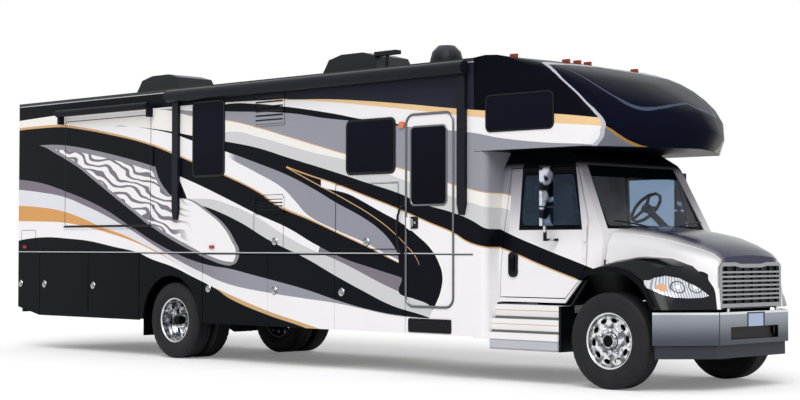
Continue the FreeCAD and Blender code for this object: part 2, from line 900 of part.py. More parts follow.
def coach_roof():
    edge_z = roof_edge_z + roof_edge_height
    face = Part.Face(roof_outline(edge_z, crown_z, half_width))
    slab = face.extrude(V(coach_front_x - wall_rear_x, 0, 0))
    slab.translate(V(wall_rear_x, 0, 0))
    arc = Part.Arc(V(0, -inner_half, roof_edge_z), V(0, 0, crown_z - roof_thickness),
                   V(0, inner_half, roof_edge_z)).toShape()
    under = Part.Face(Part.Wire([arc, line(V(0, inner_half, roof_edge_z),
                                           V(0, -inner_half, roof_edge_z))]))
    hollow = under.extrude(V(coach_front_x - wall_rear_x + overrun * 2, 0, 0))
    hollow.translate(V(wall_rear_x - overrun, 0, 0))
    return slab.cut(hollow)


# Overcab front cap, lofted across the vehicle from side outline to crowned centre
def cap_points(spread, inset):
    """Points (x, z) of the cap outline; spread is 0 at the centre and 1 at the side."""
    weight = 1 - min(spread / cap_edge_share, 1) ** cap_spread_power
    edge = max(spread - cap_edge_share, 0) / (1 - cap_edge_share)
    points = []
    rows = zip(cap_side_behind, cap_side_height_shares, cap_centre_ahead_shares, cap_centre_height_shares,
               cap_edge_pull, cap_edge_drop)
    for behind, side_share, ahead_share, centre_share, pull, drop in rows:
        x = weight * (ahead_share * cap_nose_ahead + behind) - behind - pull * edge ** 2
        share = side_share + (centre_share - side_share) * weight
        z = overcab_z + overcab_height * share - drop * edge ** 2
        points.append((ahead(x) - inset, max(z - inset, overcab_z + inset)))
    return points


def cap_section(y, half, inset, steps):
    """Section of the cap at one distance from the centre, closed along its foot and its seam."""
    spread = abs(y) / half
    points = [V(x, y, z) for x, z in cap_points(spread, inset)]
    top_z = roof_edge_z + roof_edge_height + roof_crown * (1 - spread ** 2) - inset
    start = V(coach_front_x - inset, y, top_z)
    nose = spline_points([start] + points, steps)
    low_back = V(start.x, y, points[-1].z)
    return nose + [low_back]


def cap_form(half, inset, half_shares, steps):
    shares = [-share for share in reversed(half_shares[1:])] + list(half_shares)
    return skinned([cap_section(half * share, half, inset, steps) for share in shares])


def front_cap():
    outer = cap_form(half_width, 0.0, cap_station_shares, cap_outline_steps)
    hollow = cap_form(half_width - cap_shell, cap_shell, cap_hollow_shares, cap_hollow_steps)
    shell = outer.cut(hollow)
    return shell.cut(bunk_window_box(-half_width - overrun, half_width + overrun, seat_gap))


def bunk_window_box(y0, y1, grow):
    x0 = ahead(-bunk_window_behind)
    z0 = overcab_z + bunk_window_rise
    return rounded_panel(x0 - grow, x0 + bunk_window_length + grow, y0, y1, z0 - grow,
                         z0 + bunk_window_height + grow, window_corner_radius + grow)


# Step from the wide coach to the narrow cab, with rounded corner columns
def cab_surround():
    block = rounded(box(coach_front_x, cab_back_x, -half_width, half_width, surround_bottom_z, overcab_z),
                    surround_corner_radius, V(0, 0, 1))
    square = box(coach_front_x, coach_front_x + surround_depth / 2, -half_width, half_width,
                 surround_bottom_z, overcab_z)
    wide = box(coach_front_x - overrun, cab_back_x - cap_shell, -inner_half + surround_corner_radius,
               inner_half - surround_corner_radius, surround_bottom_z - overrun, overcab_z - cap_shell)
    doorway = box(cab_back_x - cap_shell - overrun, cab_back_x + overrun, -pass_width / 2, pass_width / 2,
                  belt_z, belt_z + pass_height)
    under = box(coach_front_x - overrun, cab_back_x + overrun, -inner_half + surround_corner_radius,
                inner_half - surround_corner_radius, surround_bottom_z - overrun,
                rail_top_z + seat_gap)
    return joined([block, square]).cut(grouped([wide, doorway, under]))


# Window panes of the coach
def coach_windows():
    y0 = half_width + window_frame_proud - window_pane
    y1 = half_width + window_frame_proud
    tall = window_box(tall_window_x, tall_window_sill, tall_window_length, tall_window_height,
                      y0, y1, 0)
    dinette = window_box(dinette_window_x, dinette_window_sill, dinette_window_length,
                         dinette_window_height, y0, y1, 0)
    rear = window_box(rear_side_window_x, tall_window_sill, tall_window_length,
                      dinette_window_height, y0, y1, 0)
    bunk = bunk_window_box(y0, y1, 0)
    return grouped([mirrored(tall), mirrored(dinette), rear, bunk, mirrored(bunk)])


def louvre(sill, height):
    """Vent cover with sloping slats over a hollow back."""
    body = vent_box(sill, height, half_width + vent_proud, 0)
    x0 = vent_x
    z0 = belt_z + sill
    pitch = height / (vent_slat_count + 0.5)
    cuts = []
    for slat in range(vent_slat_count):
        z = z0 + pitch * (slat + 0.5)
        reaches = (half_width - vent_proud, half_width + overrun, half_width + overrun,
                   half_width - vent_proud)
        outline = [(y, z + pitch * share) for y, share in zip(reaches, vent_slat_shares)]
        cuts.append(prism_x(outline, x0 + overrun, x0 + vent_length - overrun))
    return mirrored(body.cut(grouped(cuts)))


def wall_vents():
    return grouped([louvre(upper_vent_sill, upper_vent_height), louvre(lower_vent_sill, lower_vent_height)])


# Roof units: air conditioners, dome, vent and aerial
def roof_height(y):
    return crown_z - roof_crown * (y / half_width) ** 2


def roof_station(share):
    """Station on the roof as a share of its length behind its front edge."""
    return coach_front_x + (wall_rear_x - coach_front_x) * share


def conditioner(share):
    x0 = roof_station(share) - conditioner_length / 2
    z0 = roof_height(conditioner_width / 2)
    z1 = crown_z + conditioner_height
    outline = [(x0, z0), (x0 + conditioner_length, z0),
               (x0 + conditioner_length - conditioner_taper, z1 - conditioner_taper / 2),
               (x0 + conditioner_length - conditioner_taper * 3, z1), (x0 + conditioner_taper * 3, z1),
               (x0 + conditioner_taper, z1 - conditioner_taper / 2)]
    shroud = prism_y(outline, -conditioner_width / 2, conditioner_width / 2)
    taper = conditioner_taper / 2
    section = [(-conditioner_width / 2, z0), (conditioner_width / 2, z0),
               (conditioner_width / 2, z0 + taper), (conditioner_width / 2 - taper, z1),
               (-conditioner_width / 2 + taper, z1), (-conditioner_width / 2, z0 + taper)]
    return shroud.common(prism_x(section, x0, x0 + conditioner_length))


def satellite_dome():
    """Dome through rings that close towards its top."""
    base = V(roof_station(dome_share), dome_offset, roof_height(dome_offset) - overrun / 2)
    profile = [(dome_radius, 0.0)]
    for step in range(dome_steps):
        angle = math.radians(90) * step / dome_steps
        profile.append((dome_radius * math.cos(angle), dome_skirt + dome_radius * math.sin(angle)))
    return turned(profile, base, V(0, 0, 1), dome_sides)


def roof_vent():
    """Lid with cut corners."""
    centre_x = roof_station(vent_dome_share)
    z0 = crown_z - overrun / 2
    half = vent_dome_length / 2
    flat = half - vent_dome_height
    outline = [(-half, -flat), (-flat, -half), (flat, -half), (half, -flat), (half, flat), (flat, half),
               (-flat, half), (-half, flat)]
    return prism_z([(centre_x + x, y) for x, y in outline], z0, z0 + vent_dome_height)


def aerial():
    x = roof_station(aerial_share)
    z0 = roof_height(aerial_offset) - overrun / 2
    mast = bar(V(x, aerial_offset, z0), V(x, aerial_offset, z0 + aerial_height), aerial_mast_radius,
               slim_sides)
    head = box(x - aerial_span / 2, x + aerial_span / 2, aerial_offset - aerial_head,
               aerial_offset + aerial_head, z0 + aerial_height - aerial_head, z0 + aerial_height)
    return joined([mast, head])


def roof_units():
    roof = coach_roof()
    units = [conditioner(rear_conditioner_share), conditioner(front_conditioner_share),
             satellite_dome(), roof_vent(), aerial()]
    return grouped([unit.cut(roof) for unit in units])


# Awning: roller tube across two folded arms
def awning():
    x0 = awning_x
    x1 = x0 + awning_length
    y = side_line - awning_radius
    z = roof_edge_z - awning_drop
    pieces = [bar(V(x0, y, z), V(x1, y, z), awning_radius, shaft_sides)]
    arm_y = half_width + seat_gap
    for end in (x0 + awning_arm_inset, x1 - awning_arm_inset - awning_arm_width):
        z0 = z - awning_arm_length
        narrow = awning_arm_width / 4
        outline = [(end + narrow, z0), (end + awning_arm_width - narrow, z0),
                   (end + awning_arm_width, z0 + awning_arm_width), (end + awning_arm_width, z),
                   (end, z), (end, z0 + awning_arm_width)]
        pieces.append(prism_y(outline, arm_y, arm_y + awning_arm_thickness))
        pieces.append(box(end, end + awning_arm_width, arm_y, y, z - awning_radius / 2,
                          z + awning_radius / 2))
    return mirrored(joined(pieces))


# Lamps: clearance lamps on the cap, side markers and tail lamps
def top_of(shape, x, y):
    """Height of a shape's upper surface at one place."""
    probe = line(V(x, y, overcab_z), V(x, y, crown_z + overrun))
    return max(vertex.Z for vertex in shape.common(probe).Vertexes)


def clearance_lamps():
    cap = front_cap()
    x = ahead(-cap_side_behind[0])
    lamps = []
    for share in clearance_lamp_shares:
        y = half_width * share
        z = top_of(cap, x, y)
        lamp = box(x - clearance_lamp_length / 2, x + clearance_lamp_length / 2,
                   y - clearance_lamp_width / 2, y + clearance_lamp_width / 2,
                   z - clearance_lamp_height / 2, z + clearance_lamp_height)
        lamps.append(max(lamp.cut(cap).Solids, key=lambda solid: solid.CenterOfMass.z))
    return lamps


def tail_lamps():
    lamps = []
    for side in (-1, 1):
        y = side * tail_lamp_half
        lamps.append(box(rear_wall_x - tail_lamp_depth, rear_wall_x - seat_gap, y - tail_lamp_width / 2,
                         y + tail_lamp_width / 2, tail_lamp_z, tail_lamp_z + tail_lamp_height))
    return lamps


def side_markers():
    markers = []
    z = belt_z + clearance_lamp_length
    tail = wall_rear_x + marker_tail_gap
    middle = rear_axle_x + marker_axle_gap
    front = coach_front_x - marker_front_gap
    for side, stations in ((-1, (tail, middle)), (1, (tail, front))):
        for x in stations:
            marker = box(x, x + clearance_lamp_length, half_width + seat_gap,
                         half_width + clearance_lamp_height / 2, z - clearance_lamp_width / 2,
                         z + clearance_lamp_width / 2)
            markers.append(marker if side > 0 else mirrored(marker))
    return markers


def lamps():
    return grouped(clearance_lamps() + tail_lamps() + side_markers())


# Rear bumper with the hitch receiver below it
def rear_bumper():
    beam = box(rear_wall_x - rear_reach / 2, rear_wall_x - seat_gap, -rear_bumper_half, rear_bumper_half,
               rear_bumper_z, rear_bumper_z + rear_bumper_height)
    half = receiver_outer / 2
    tube = box(tail_x, tail_x + receiver_length, -half, half, receiver_z - half, receiver_z + half)
    bore = receiver_bore / 2
    socket = box(tail_x - overrun, tail_x + receiver_length - receiver_outer, -bore, bore,
                 receiver_z - bore, receiver_z + bore)
    pin_x = tail_x + receiver_pin_inset
    pin = rod(V(pin_x, -half - overrun, receiver_z), V(pin_x, half + overrun, receiver_z),
              receiver_pin_radius)
    hanger_x = tail_x + receiver_length - receiver_outer
    hanger = box(hanger_x, tail_x + receiver_length, -rail_half - rail_width / 2,
                 rail_half + rail_width / 2, receiver_z - half, rail_top_z - rail_height - seat_gap)
    post = box(rear_wall_x - rear_reach / 2, hanger_x + overrun, -half * 2, half * 2, receiver_z + bore,
               rear_bumper_z + rear_bumper_height / 2)
    rails = []
    for side in (-1, 1):
        y = side * rail_half
        rails.append(box(hanger_x, tail_x + receiver_length + rail_width * 2, y - rail_width / 2,
                         y + rail_width / 2, rail_top_z - rail_height - rail_width,
                         rail_top_z - rail_height - seat_gap))
    return joined([beam, tube, hanger, post] + rails).cut(socket).cut(pin)


# Ladder up the rear wall
def ladder():
    x = tail_x + ladder_tube
    top = roof_edge_z + roof_edge_height
    pieces = []
    for side in (-1, 1):
        y = ladder_offset + side * ladder_half
        pieces.append(bar(V(x, y, ladder_bottom_z), V(x, y, top), ladder_tube, few_sides))
        for z in (ladder_bottom_z + ladder_half, (ladder_bottom_z + top) / 2, top - ladder_half):
            pieces.append(box(x, rear_wall_x - seat_gap, y - ladder_rung, y + ladder_rung, z - ladder_rung,
                              z + ladder_rung))
    pitch = (top - ladder_bottom_z) / ladder_rung_count
    for rung in range(ladder_rung_count):
        z = ladder_bottom_z + pitch * (rung + 0.5)
        pieces.append(box(x - ladder_rung, x + ladder_rung, ladder_offset - ladder_half,
                          ladder_offset + ladder_half, z - ladder_rung, z + ladder_rung))
    return joined(pieces)


# Cab: one closed form from its side view and its end view, hollowed and cut at the real seams
def offset_outline(outline, inset):
    """Outline moved inwards by the inset, as a list of points."""
    if inset == 0:
        return outline
    face = outline_face([V(a, b, 0) for a, b in outline])
    wire = face.makeOffset2D(-inset, 2).OuterWire
    return [(vertex.X, vertex.Y) for vertex in wire.OrderedVertexes]


def cab_side_outline():
    back = cab_back_x
    return [(back, cab_floor_z), (ahead(-toe_behind), cab_floor_z),
            (ahead(-arch_point_behind), arch_point_z), (ahead(-cowl_behind), fender_line_z[0]),
            (ahead(-cowl_behind), cowl_z), (ahead(-windshield_top_behind), windshield_top_z),
            (ahead(-windshield_top_behind - cab_panel * 4), cab_top_z), (back, cab_top_z)]


def cab_end_outline():
    half = cab_half_width
    right = [(half - overrun, cab_floor_z), (half, (cab_floor_z + cab_belt_z) / 2),
             (half - overrun, cab_belt_z), (cab_eaves_half, cab_eaves_z), (cab_roof_half, cab_top_z)]
    return right + [(-y, z) for y, z in reversed(right)]


def cab_form(inset):
    side = prism_y(offset_outline(cab_side_outline(), inset), -cab_half_width - overrun,
                   cab_half_width + overrun)
    end = prism_x(offset_outline(cab_end_outline(), inset), cab_back_x - overrun,
                  ahead(overrun))
    return side.common(end)


def door_outline(grow):
    outline = [(ahead(-door_rear_low_behind), door_bottom_z), (ahead(-door_toe_behind), door_bottom_z),
               (ahead(-door_knee_behind), door_knee_z),
               (ahead(-door_front_behind), door_knee_z + door_handle_height),
               (ahead(-door_front_behind), door_shoulder_z), (ahead(-door_head_behind), door_head_z),
               (ahead(-door_rear_top_behind), door_head_rear_z)]
    return offset_outline(outline, -grow) if grow else outline


def glass_outline(grow):
    outline = [(ahead(-behind), z) for behind, z in zip(glass_behind, glass_z)]
    return offset_outline(outline, -grow) if grow else outline


def windshield_outline():
    low = cowl_z + windshield_sill_rise
    high = windshield_top_z - windshield_head_drop
    return [(-windshield_half_base, low), (windshield_half_base, low), (windshield_half_top, high),
            (-windshield_half_top, high)]


def windshield_prism(grow):
    outline = offset_outline(windshield_outline(), -grow) if grow else windshield_outline()
    return prism_x(outline, ahead(-windshield_top_behind - cab_panel * 5), ahead(overrun))


def side_prism(outline):
    """Outline carried through the cab's side, clear of the cab's back wall."""
    back_wall = box(cab_back_x - overrun, cab_back_x + cab_panel + overrun, 0,
                    cab_half_width - cab_panel - overrun, cab_floor_z, cab_top_z)
    return prism_y(outline, cab_eaves_half - cab_panel * 2, cab_half_width + overrun).cut(back_wall)


def cab_shell_piece():
    shell = cab_form(0).cut(cab_form(cab_panel))
    opening = side_prism(door_outline(door_gap))
    doorway = box(cab_back_x - overrun, cab_back_x + cab_panel + overrun, -pass_width / 2, pass_width / 2,
                  belt_z, belt_z + pass_height)
    return shell.cut(grouped([opening, mirrored(opening), windshield_prism(seat_gap), doorway]))


def cab_layer():
    return cab_form(cab_glass_inset).cut(cab_form(cab_glass_inset + cab_glass_thickness))


def windshield():
    return cab_layer().common(windshield_prism(0))


def cab_door():
    """Right-hand door; the left one is its mirror image."""
    skin = cab_form(0).cut(cab_form(cab_panel)).common(side_prism(door_outline(0)))
    panel = skin.cut(side_prism(glass_outline(seat_gap)))
    x = ahead(door_handle_inset - door_rear_low_behind)
    handle = box(x, x + door_handle_width, cab_half_width - overrun - cab_panel / 2,
                 cab_half_width + door_handle_proud,
                 door_handle_z - door_handle_height / 2, door_handle_z + door_handle_height / 2)
    hinges = []
    for z in (door_knee_z + door_handle_height * 3 / 2, door_shoulder_z - door_handle_height * 3 / 2):
        foot = V(ahead(-door_front_behind), door_hinge_half, z)
        hinges.append(bar(foot, foot + V(0, 0, door_handle_height), door_hinge_radius, slim_sides))
        hinges.append(box(foot.x - door_hinge_radius * 3, foot.x, cab_half_width - overrun * 2,
                          door_hinge_half, z, z + door_handle_height))
    return mirrored(joined([panel, handle] + hinges))


def cab_door_glass():
    return mirrored(cab_layer().common(side_prism(glass_outline(0))))


# Mirror on a bent stem that stands on the door
def mirror():
    """Two mirror heads on a bent arm that stands on the door."""
    x = ahead(-mirror_behind)
    y = cab_half_width + mirror_reach - mirror_head_width / 2
    pieces = []
    lower_z = mirror_head_z - mirror_convex_height - overrun
    for z, height in ((mirror_head_z, mirror_head_height), (lower_z, mirror_convex_height)):
        half = mirror_head_width / 2
        corner = mirror_head_depth / 2
        front_x = x - mirror_head_depth
        outline = [(x, y - half), (x, y + half), (x - corner, y + half), (front_x, y + corner),
                   (front_x, y - corner), (x - corner, y - half)]
        pieces.append(prism_z(outline, z, z + height))
    stem_x = x - mirror_head_depth / 2
    stem = mirror_stem_radius
    pieces.append(box(stem_x - stem, stem_x + stem, cab_half_width - overrun * 2, y + stem,
                      mirror_foot_z - stem, mirror_foot_z + stem))
    pieces.append(box(stem_x - stem, stem_x + stem, y - stem, y + stem, mirror_foot_z - stem,
                      mirror_head_z + mirror_head_height / 2))
    door = mirrored(cab_door())
    return mirrored(joined(pieces).cut(door))


# Dashboard, seats and steering column
def seat(side):
    y = side * seat_half_spacing
    x = ahead(-seat_behind)
    half = seat_width / 2
    floor = cab_floor_z + cab_panel
    cushion = box(x - seat_length / 2, x + seat_length / 2, y - half, y + half,
                  seat_top_z - seat_thickness, seat_top_z)
    pedestal = box(x - seat_length / 4, x + seat_length / 4, y - half / 2, y + half / 2, floor,
                   seat_top_z - seat_thickness / 2)
    back_x = x - seat_length / 2
    outline = [(back_x, seat_top_z - seat_thickness),
               (back_x + seat_thickness, seat_top_z - seat_thickness),
               (back_x + seat_thickness - seat_back_lean, seat_top_z + seat_back_height),
               (back_x - seat_back_lean, seat_top_z + seat_back_height)]
    back = prism_y(outline, y - half, y + half)
    return joined([cushion, pedestal, back])


def column_axis():
    tilt = math.radians(steering_wheel_tilt)
    return V(-math.cos(tilt), 0, math.sin(tilt))


def steering_centre():
    return V(ahead(-steering_wheel_behind), seat_half_spacing, steering_wheel_z)


def dashboard():
    x1 = ahead(-cowl_behind) - cab_panel - seat_gap
    half = cab_half_width - cab_panel - overrun * 3
    outline = [(x1, dash_top_z - dash_height), (x1, cowl_z), (x1 - cab_panel, dash_top_z),
               (x1 - dash_depth, dash_top_z), (x1 - dash_depth * dash_foot_share, dash_top_z - dash_height)]
    body = prism_y(outline, -half, half).common(cab_form(cab_panel + seat_gap))
    hub_back = steering_centre() - column_axis() * (steering_hub_depth / 2 + seat_gap)
    column = bar(hub_back - column_axis() * column_length, hub_back, column_radius, slim_sides)
    return joined([body, column])


def cab_interior():
    return grouped([dashboard(), seat(1), seat(-1)])


def steering_wheel():
    """Wheel with a six-sided rim section, a hub and three spokes, laid flat and then tilted."""
    rim = steering_wheel_rim
    up = V(0, 0, 1)
    centre = V(0, 0, 0)
    outer = [(steering_wheel_radius - rim / 2, -rim), (steering_wheel_radius, 0.0),
             (steering_wheel_radius - rim / 2, rim)]
    bore_radius = steering_wheel_radius - rim * 2
    bore = turned([(bore_radius, -rim - overrun), (bore_radius, rim + overrun)], centre, up,
                  steering_wheel_sides)
    rim_ring = turned(outer, centre, up, steering_wheel_sides).cut(bore)
    half_hub = V(0, 0, steering_hub_depth / 2)
    pieces = [rim_ring, bar(centre - half_hub, centre + half_hub, steering_hub_radius, slim_sides)]
    for spoke in range(3):
        arm = box(0, steering_wheel_radius - rim, -steering_spoke_width / 2, steering_spoke_width / 2,
                  -rim / 2, rim / 2)
        arm.rotate(centre, up, 90 + 120 * spoke)
        pieces.append(arm)
    wheel = joined(pieces)
    wheel.rotate(centre, V(0, 1, 0), steering_wheel_tilt - 90)
    wheel.translate(steering_centre())
    return wheel


# Cab steps below the doors and the quarter fenders behind the front wheels
def cab_steps():
    x0 = cab_back_x
    x1 = ahead(-step_front_behind)
    top = step_bottom_z + step_height + step_rise * 2
    outline = [(step_root_half, step_bottom_z), (step_half, step_bottom_z),
               (step_half, step_bottom_z + step_height),
               (step_half - overrun * 2, step_bottom_z + step_height),
               (step_half - overrun * 2, step_bottom_z + step_height + step_rise),
               (step_half - overrun * 5, step_bottom_z + step_height + step_rise),
               (step_half - overrun * 5, top), (step_root_half, top)]
    step = prism_x(outline, x0 + seat_gap, x1)
    carrier = box(x0 + seat_gap, x0 + rail_width + seat_gap, rail_half + rail_width / 2 + seat_gap,
                  step_root_half, top - rail_width, top)
    forward = box(x1 - rail_width * 2, x1 - rail_width, rail_half + rail_width / 2 + seat_gap,
                  step_root_half, top - rail_width, top)
    guard_front = x1 + quarter_thickness
    guard = box(x1, guard_front, step_root_half, step_half - overrun, step_bottom_z, top)
    arch_x = ahead(-arch_point_behind)
    arch_z = arch_point_z - overrun
    sloped = prism_y([(x1, top - overrun), (guard_front, top - overrun), (guard_front, top),
                      (arch_x + quarter_thickness, arch_z), (arch_x, arch_z), (x1, top)],
                     step_root_half, guard_half)
    side = joined([step, carrier, forward, guard, sloped])
    return both_sides(side)


# Front bumper swept back to the fenders, with the air dam below it
def bumper_plan(set_back, tip_set_back):
    """Plan of the bumper's face: a flat middle, a knee and a swept tip on each side."""
    x = ahead(front_overhang) - set_back
    half = [(x, bumper_flat_half), (x - bumper_knee_back, bumper_knee_half),
            (ahead(bumper_tip_ahead), bumper_half - tip_set_back)]
    return [(x, -y) for x, y in reversed(half)] + half


def bumper_bar(set_back, z0, z1):
    outer = bumper_plan(set_back, set_back)
    inner = bumper_plan(set_back + bumper_wall, set_back + bumper_wall)
    return prism_z(outer + list(reversed(inner)), z0, z1)


def hood_pivot():
    return V(ahead(front_overhang - hood_pivot_behind_nose), hood_pivot_half, fender_lip_z)


def hood_lug():
    """Lug on the bumper with the pin that one ear of the hood turns on."""
    pivot = hood_pivot()
    ear_end = pivot.y + hood_ear_width + seat_gap
    lug = box(pivot.x - hood_lug_half, pivot.x + hood_lug_half, ear_end, ear_end + hood_ear_width,
              bumper_top_z - bumper_wall, pivot.z + hood_lug_half)
    pin = bar(pivot, V(pivot.x, ear_end + hood_ear_width / 2, pivot.z), hood_pin_radius, shaft_sides)
    return joined([lug, pin])


def hood_ear():
    pivot = hood_pivot()
    disc = bar(pivot, pivot + V(0, hood_ear_width, 0), hood_ear_radius, shaft_sides)
    web = box(ahead(hood_nose_ahead) - hood_wall / 2, pivot.x, pivot.y, pivot.y + hood_ear_width,
              pivot.z, pivot.z + hood_ear_radius)
    bore = rod(pivot - V(0, overrun, 0), pivot + V(0, overrun * 2, 0), hood_pin_radius + seat_gap)
    return joined([disc, web]).cut(bore)


def front_bumper():
    face = bumper_bar(0, bumper_bottom_z, bumper_top_z)
    x1 = ahead(front_overhang)
    slot = box(x1 - bumper_wall * 2, x1 + overrun, -bumper_slot_half, bumper_slot_half,
               bumper_slot_bottom_z, bumper_slot_top_z)
    horns = []
    for side in (-1, 1):
        y = side * rail_half
        rail_bottom = rail_top_z - rail_height
        horns.append(box(x1 - bumper_wall * 8, x1 - bumper_wall / 2, y - rail_width / 2, y + rail_width / 2,
                         rail_bottom - rail_width, rail_bottom - seat_gap))
    lug = hood_lug()
    return joined([face.cut(slot), lug, mirrored(lug)] + horns)


def air_dam():
    return bumper_bar(air_dam_set_back, air_dam_bottom_z, bumper_bottom_z - seat_gap)


# Hood: centre form and two fenders, hollowed together and open below
def fewer(rows):
    """Every second row and the last one, for a hollow that needs less detail than its outside."""
    return list(rows[:-1:2]) + [rows[-1]]


def hood_section(x, half, crown, side, bottom, shares):
    """Section across the bonnet from one lower edge over its crown to the other."""
    right = [V(x, half, bottom)]
    for across, rise in shares:
        right.append(V(x, half * across, side + (crown - side) * rise))
    left = [V(x, -corner.y, corner.z) for corner in reversed(right[:-1])]
    return right + left


def hood_centre(inset):
    """Bonnet between the fenders; the inset one has fewer rows and is longer below and behind."""
    sections = []
    rows = list(zip(hood_station_ahead, hood_station_half, hood_station_crown_z, hood_station_side_z))
    shares = list(zip(hood_across_shares, hood_rise_shares))
    if inset:
        rows = fewer(rows)
        shares = fewer(shares)
    for station, half, crown, side in rows:
        x = ahead(station)
        low = hood_skirt_z - (overrun * 6 if inset else 0)
        if station == hood_station_ahead[0] and inset:
            x -= overrun
        if station == hood_station_ahead[-1]:
            x -= inset
            low = fender_lip_z - (overrun if inset else 0)
        sections.append(hood_section(x, half - inset, crown - inset, side - inset, low, shares))
    return skinned(sections)


def fender_section(y, drop, pull, inset):
    """Side outline of the fender at one distance from the centre."""
    points = []
    rows = list(zip(fender_line_ahead, fender_line_z, fender_pull_shares, fender_drop_shares))
    if inset:
        rows = fewer(rows)
    for station, z, pull_share, drop_share in rows:
        points.append(V(ahead(station - pull * pull_share) - inset, y, z - drop * drop_share - inset))
    if inset:
        points[0].x -= overrun
        points[-1].z = fender_lip_z - overrun
    heel = V(points[0].x, y, points[-1].z)
    return points + [heel]


def fender_form(inset):
    """Fender from inside the bonnet out to its rounded side; the inset one starts further in."""
    sections = []
    for y, pull, drop in fewer(fender_rows) if inset else fender_rows:
        inner = y - inset * y / fender_half if y > fender_root_half else y - inset * 2
        sections.append(fender_section(inner, drop, pull, inset))
    return skinned(sections)


def arch_opening(y0, y1):
    """Wheel arch in side view, from the flare's lip down past the hood's lower edge."""
    outline = [(ahead(station), z) for station, z in zip(arch_line_ahead, arch_line_z)]
    return prism_y(outline + [(outline[0][0], outline[-1][1])], y0, y1)


def hood_outer():
    fender = fender_form(0)
    form = joined([hood_centre(0), fender, mirrored(fender)])
    opening = arch_opening(fender_root_half - overrun, fender_half + overrun)
    return form.cut(grouped([opening, mirrored(opening)]))


def hood_hollow():
    fender = fender_form(hood_wall)
    return joined([hood_centre(hood_wall), fender, mirrored(fender)])


def headlamp_prism(grow):
    """Almond outline seen from the front, carried back through the fender."""
    outline = list(zip(headlamp_across, headlamp_z))
    points = offset_outline(outline, -grow) if grow else outline
    return prism_x(points, ahead(headlamp_rear_ahead), ahead(headlamp_front_ahead))


def grille_opening(grow, x0, x1):
    """Outline of the grille: cut lower corners, raised upper corners and a shallow dip between them."""
    corner = grille_frame
    right = [(grille_half - corner / 2, grille_bottom_z), (grille_half, grille_bottom_z + corner),
             (grille_half, grille_top_z - corner), (grille_half - corner, grille_top_z),
             (grille_half / 2, grille_top_z), (grille_half / 3, grille_top_z - grille_dip)]
    outline = right + [(-y, z) for y, z in reversed(right)]
    return prism_x(offset_outline(outline, -grow) if grow else outline, x0, x1)


def hood():
    shell = hood_outer().cut(hood_hollow())
    lamp = headlamp_prism(seat_gap)
    x1 = ahead(headlamp_front_ahead) + overrun
    mouth = grille_opening(-grille_frame / 2, ahead(hood_nose_ahead) - hood_wall * 2, x1)
    beside = cab_half_width + cab_clearance
    cab_room = box(ahead(-fender_half), ahead(-cowl_behind + cab_clearance), -beside, beside,
                   cab_floor_z - overrun, cab_top_z)
    cut_shell = shell.cut(grouped([lamp, mirrored(lamp), mouth, cab_room]))
    ear = hood_ear()
    return joined([cut_shell, ear, mirrored(ear)])


def headlamps():
    layer = fender_form(0).cut(fender_form(hood_wall))
    lamp = layer.common(headlamp_prism(0))
    lamp = max(lamp.Solids, key=lambda solid: solid.Volume)
    return both_sides(lamp)


def grille():
    """Bright surround with level bars across its mouth and dark posts behind them."""
    x0 = ahead(hood_nose_ahead) + seat_gap
    x1 = x0 + grille_proud
    frame = grille_opening(0, x0, x1)
    mouth = grille_opening(-grille_frame, x0 - overrun, x1 + overrun)
    pieces = [frame.cut(mouth)]
    top = grille_top_z - grille_dip
    pitch = (top - grille_bottom_z - grille_frame * 2) / (grille_bar_count + 1)
    for level in range(grille_bar_count):
        z = grille_bottom_z + grille_frame + pitch * (level + 1)
        pieces.append(box(x0, x1, -grille_half + grille_frame / 2, grille_half - grille_frame / 2,
                          z - grille_bar_height / 2, z + grille_bar_height / 2))
    return joined(pieces)


def fender_flares():
    """Black lip that follows the wheel arch outside the fender."""
    y0 = fender_half + seat_gap
    centre = V(front_axle_x, 0, axle_z)
    inner = [V(ahead(station), 0, max(z, fender_lip_z)) for station, z in zip(arch_line_ahead, arch_line_z)]
    outer = [point + V(point - centre).normalize() * flare_width for point in inner]
    outline = [(point.x, point.z) for point in inner + list(reversed(outer))]
    return both_sides(prism_y(outline, y0, y0 + flare_proud))


# Entry door with its window
def entry_door():
    y1 = half_width
    panel = entry_box(y1 - entry_door_thickness, y1, 0)
    window = entry_window_box(y1 - entry_door_thickness - overrun, y1 + overrun, seat_gap)
    x0, x1 = entry_rear_x, entry_front_x
    z = skirt_z + entry_door_sill + entry_handle_rise
    handle = box(x0 + overrun, x0 + overrun + door_handle_width, y1 - overrun, y1 + door_handle_proud,
                 z - door_handle_height / 2, z + door_handle_height / 2)
    foot = V(x1 - hinge_bead_radius, y1, skirt_z + entry_door_sill + entry_corner_radius)
    bead = bar(foot, foot + V(0, 0, entry_door_height - entry_corner_radius * 2), hinge_bead_radius,
               few_sides)
    return mirrored(joined([panel.cut(window), handle, bead]))


def entry_window_box(y0, y1, grow):
    x0 = entry_rear_x + entry_window_rear
    z0 = skirt_z + entry_door_sill + entry_window_sill
    return rounded_panel(x0 - grow, x0 + entry_window_width + grow, y0, y1, z0 - grow,
                         z0 + entry_window_height + grow, window_corner_radius + grow)


def entry_window():
    y1 = half_width
    return mirrored(entry_window_box(y1 - window_pane, y1 + window_frame_proud / 2, 0))


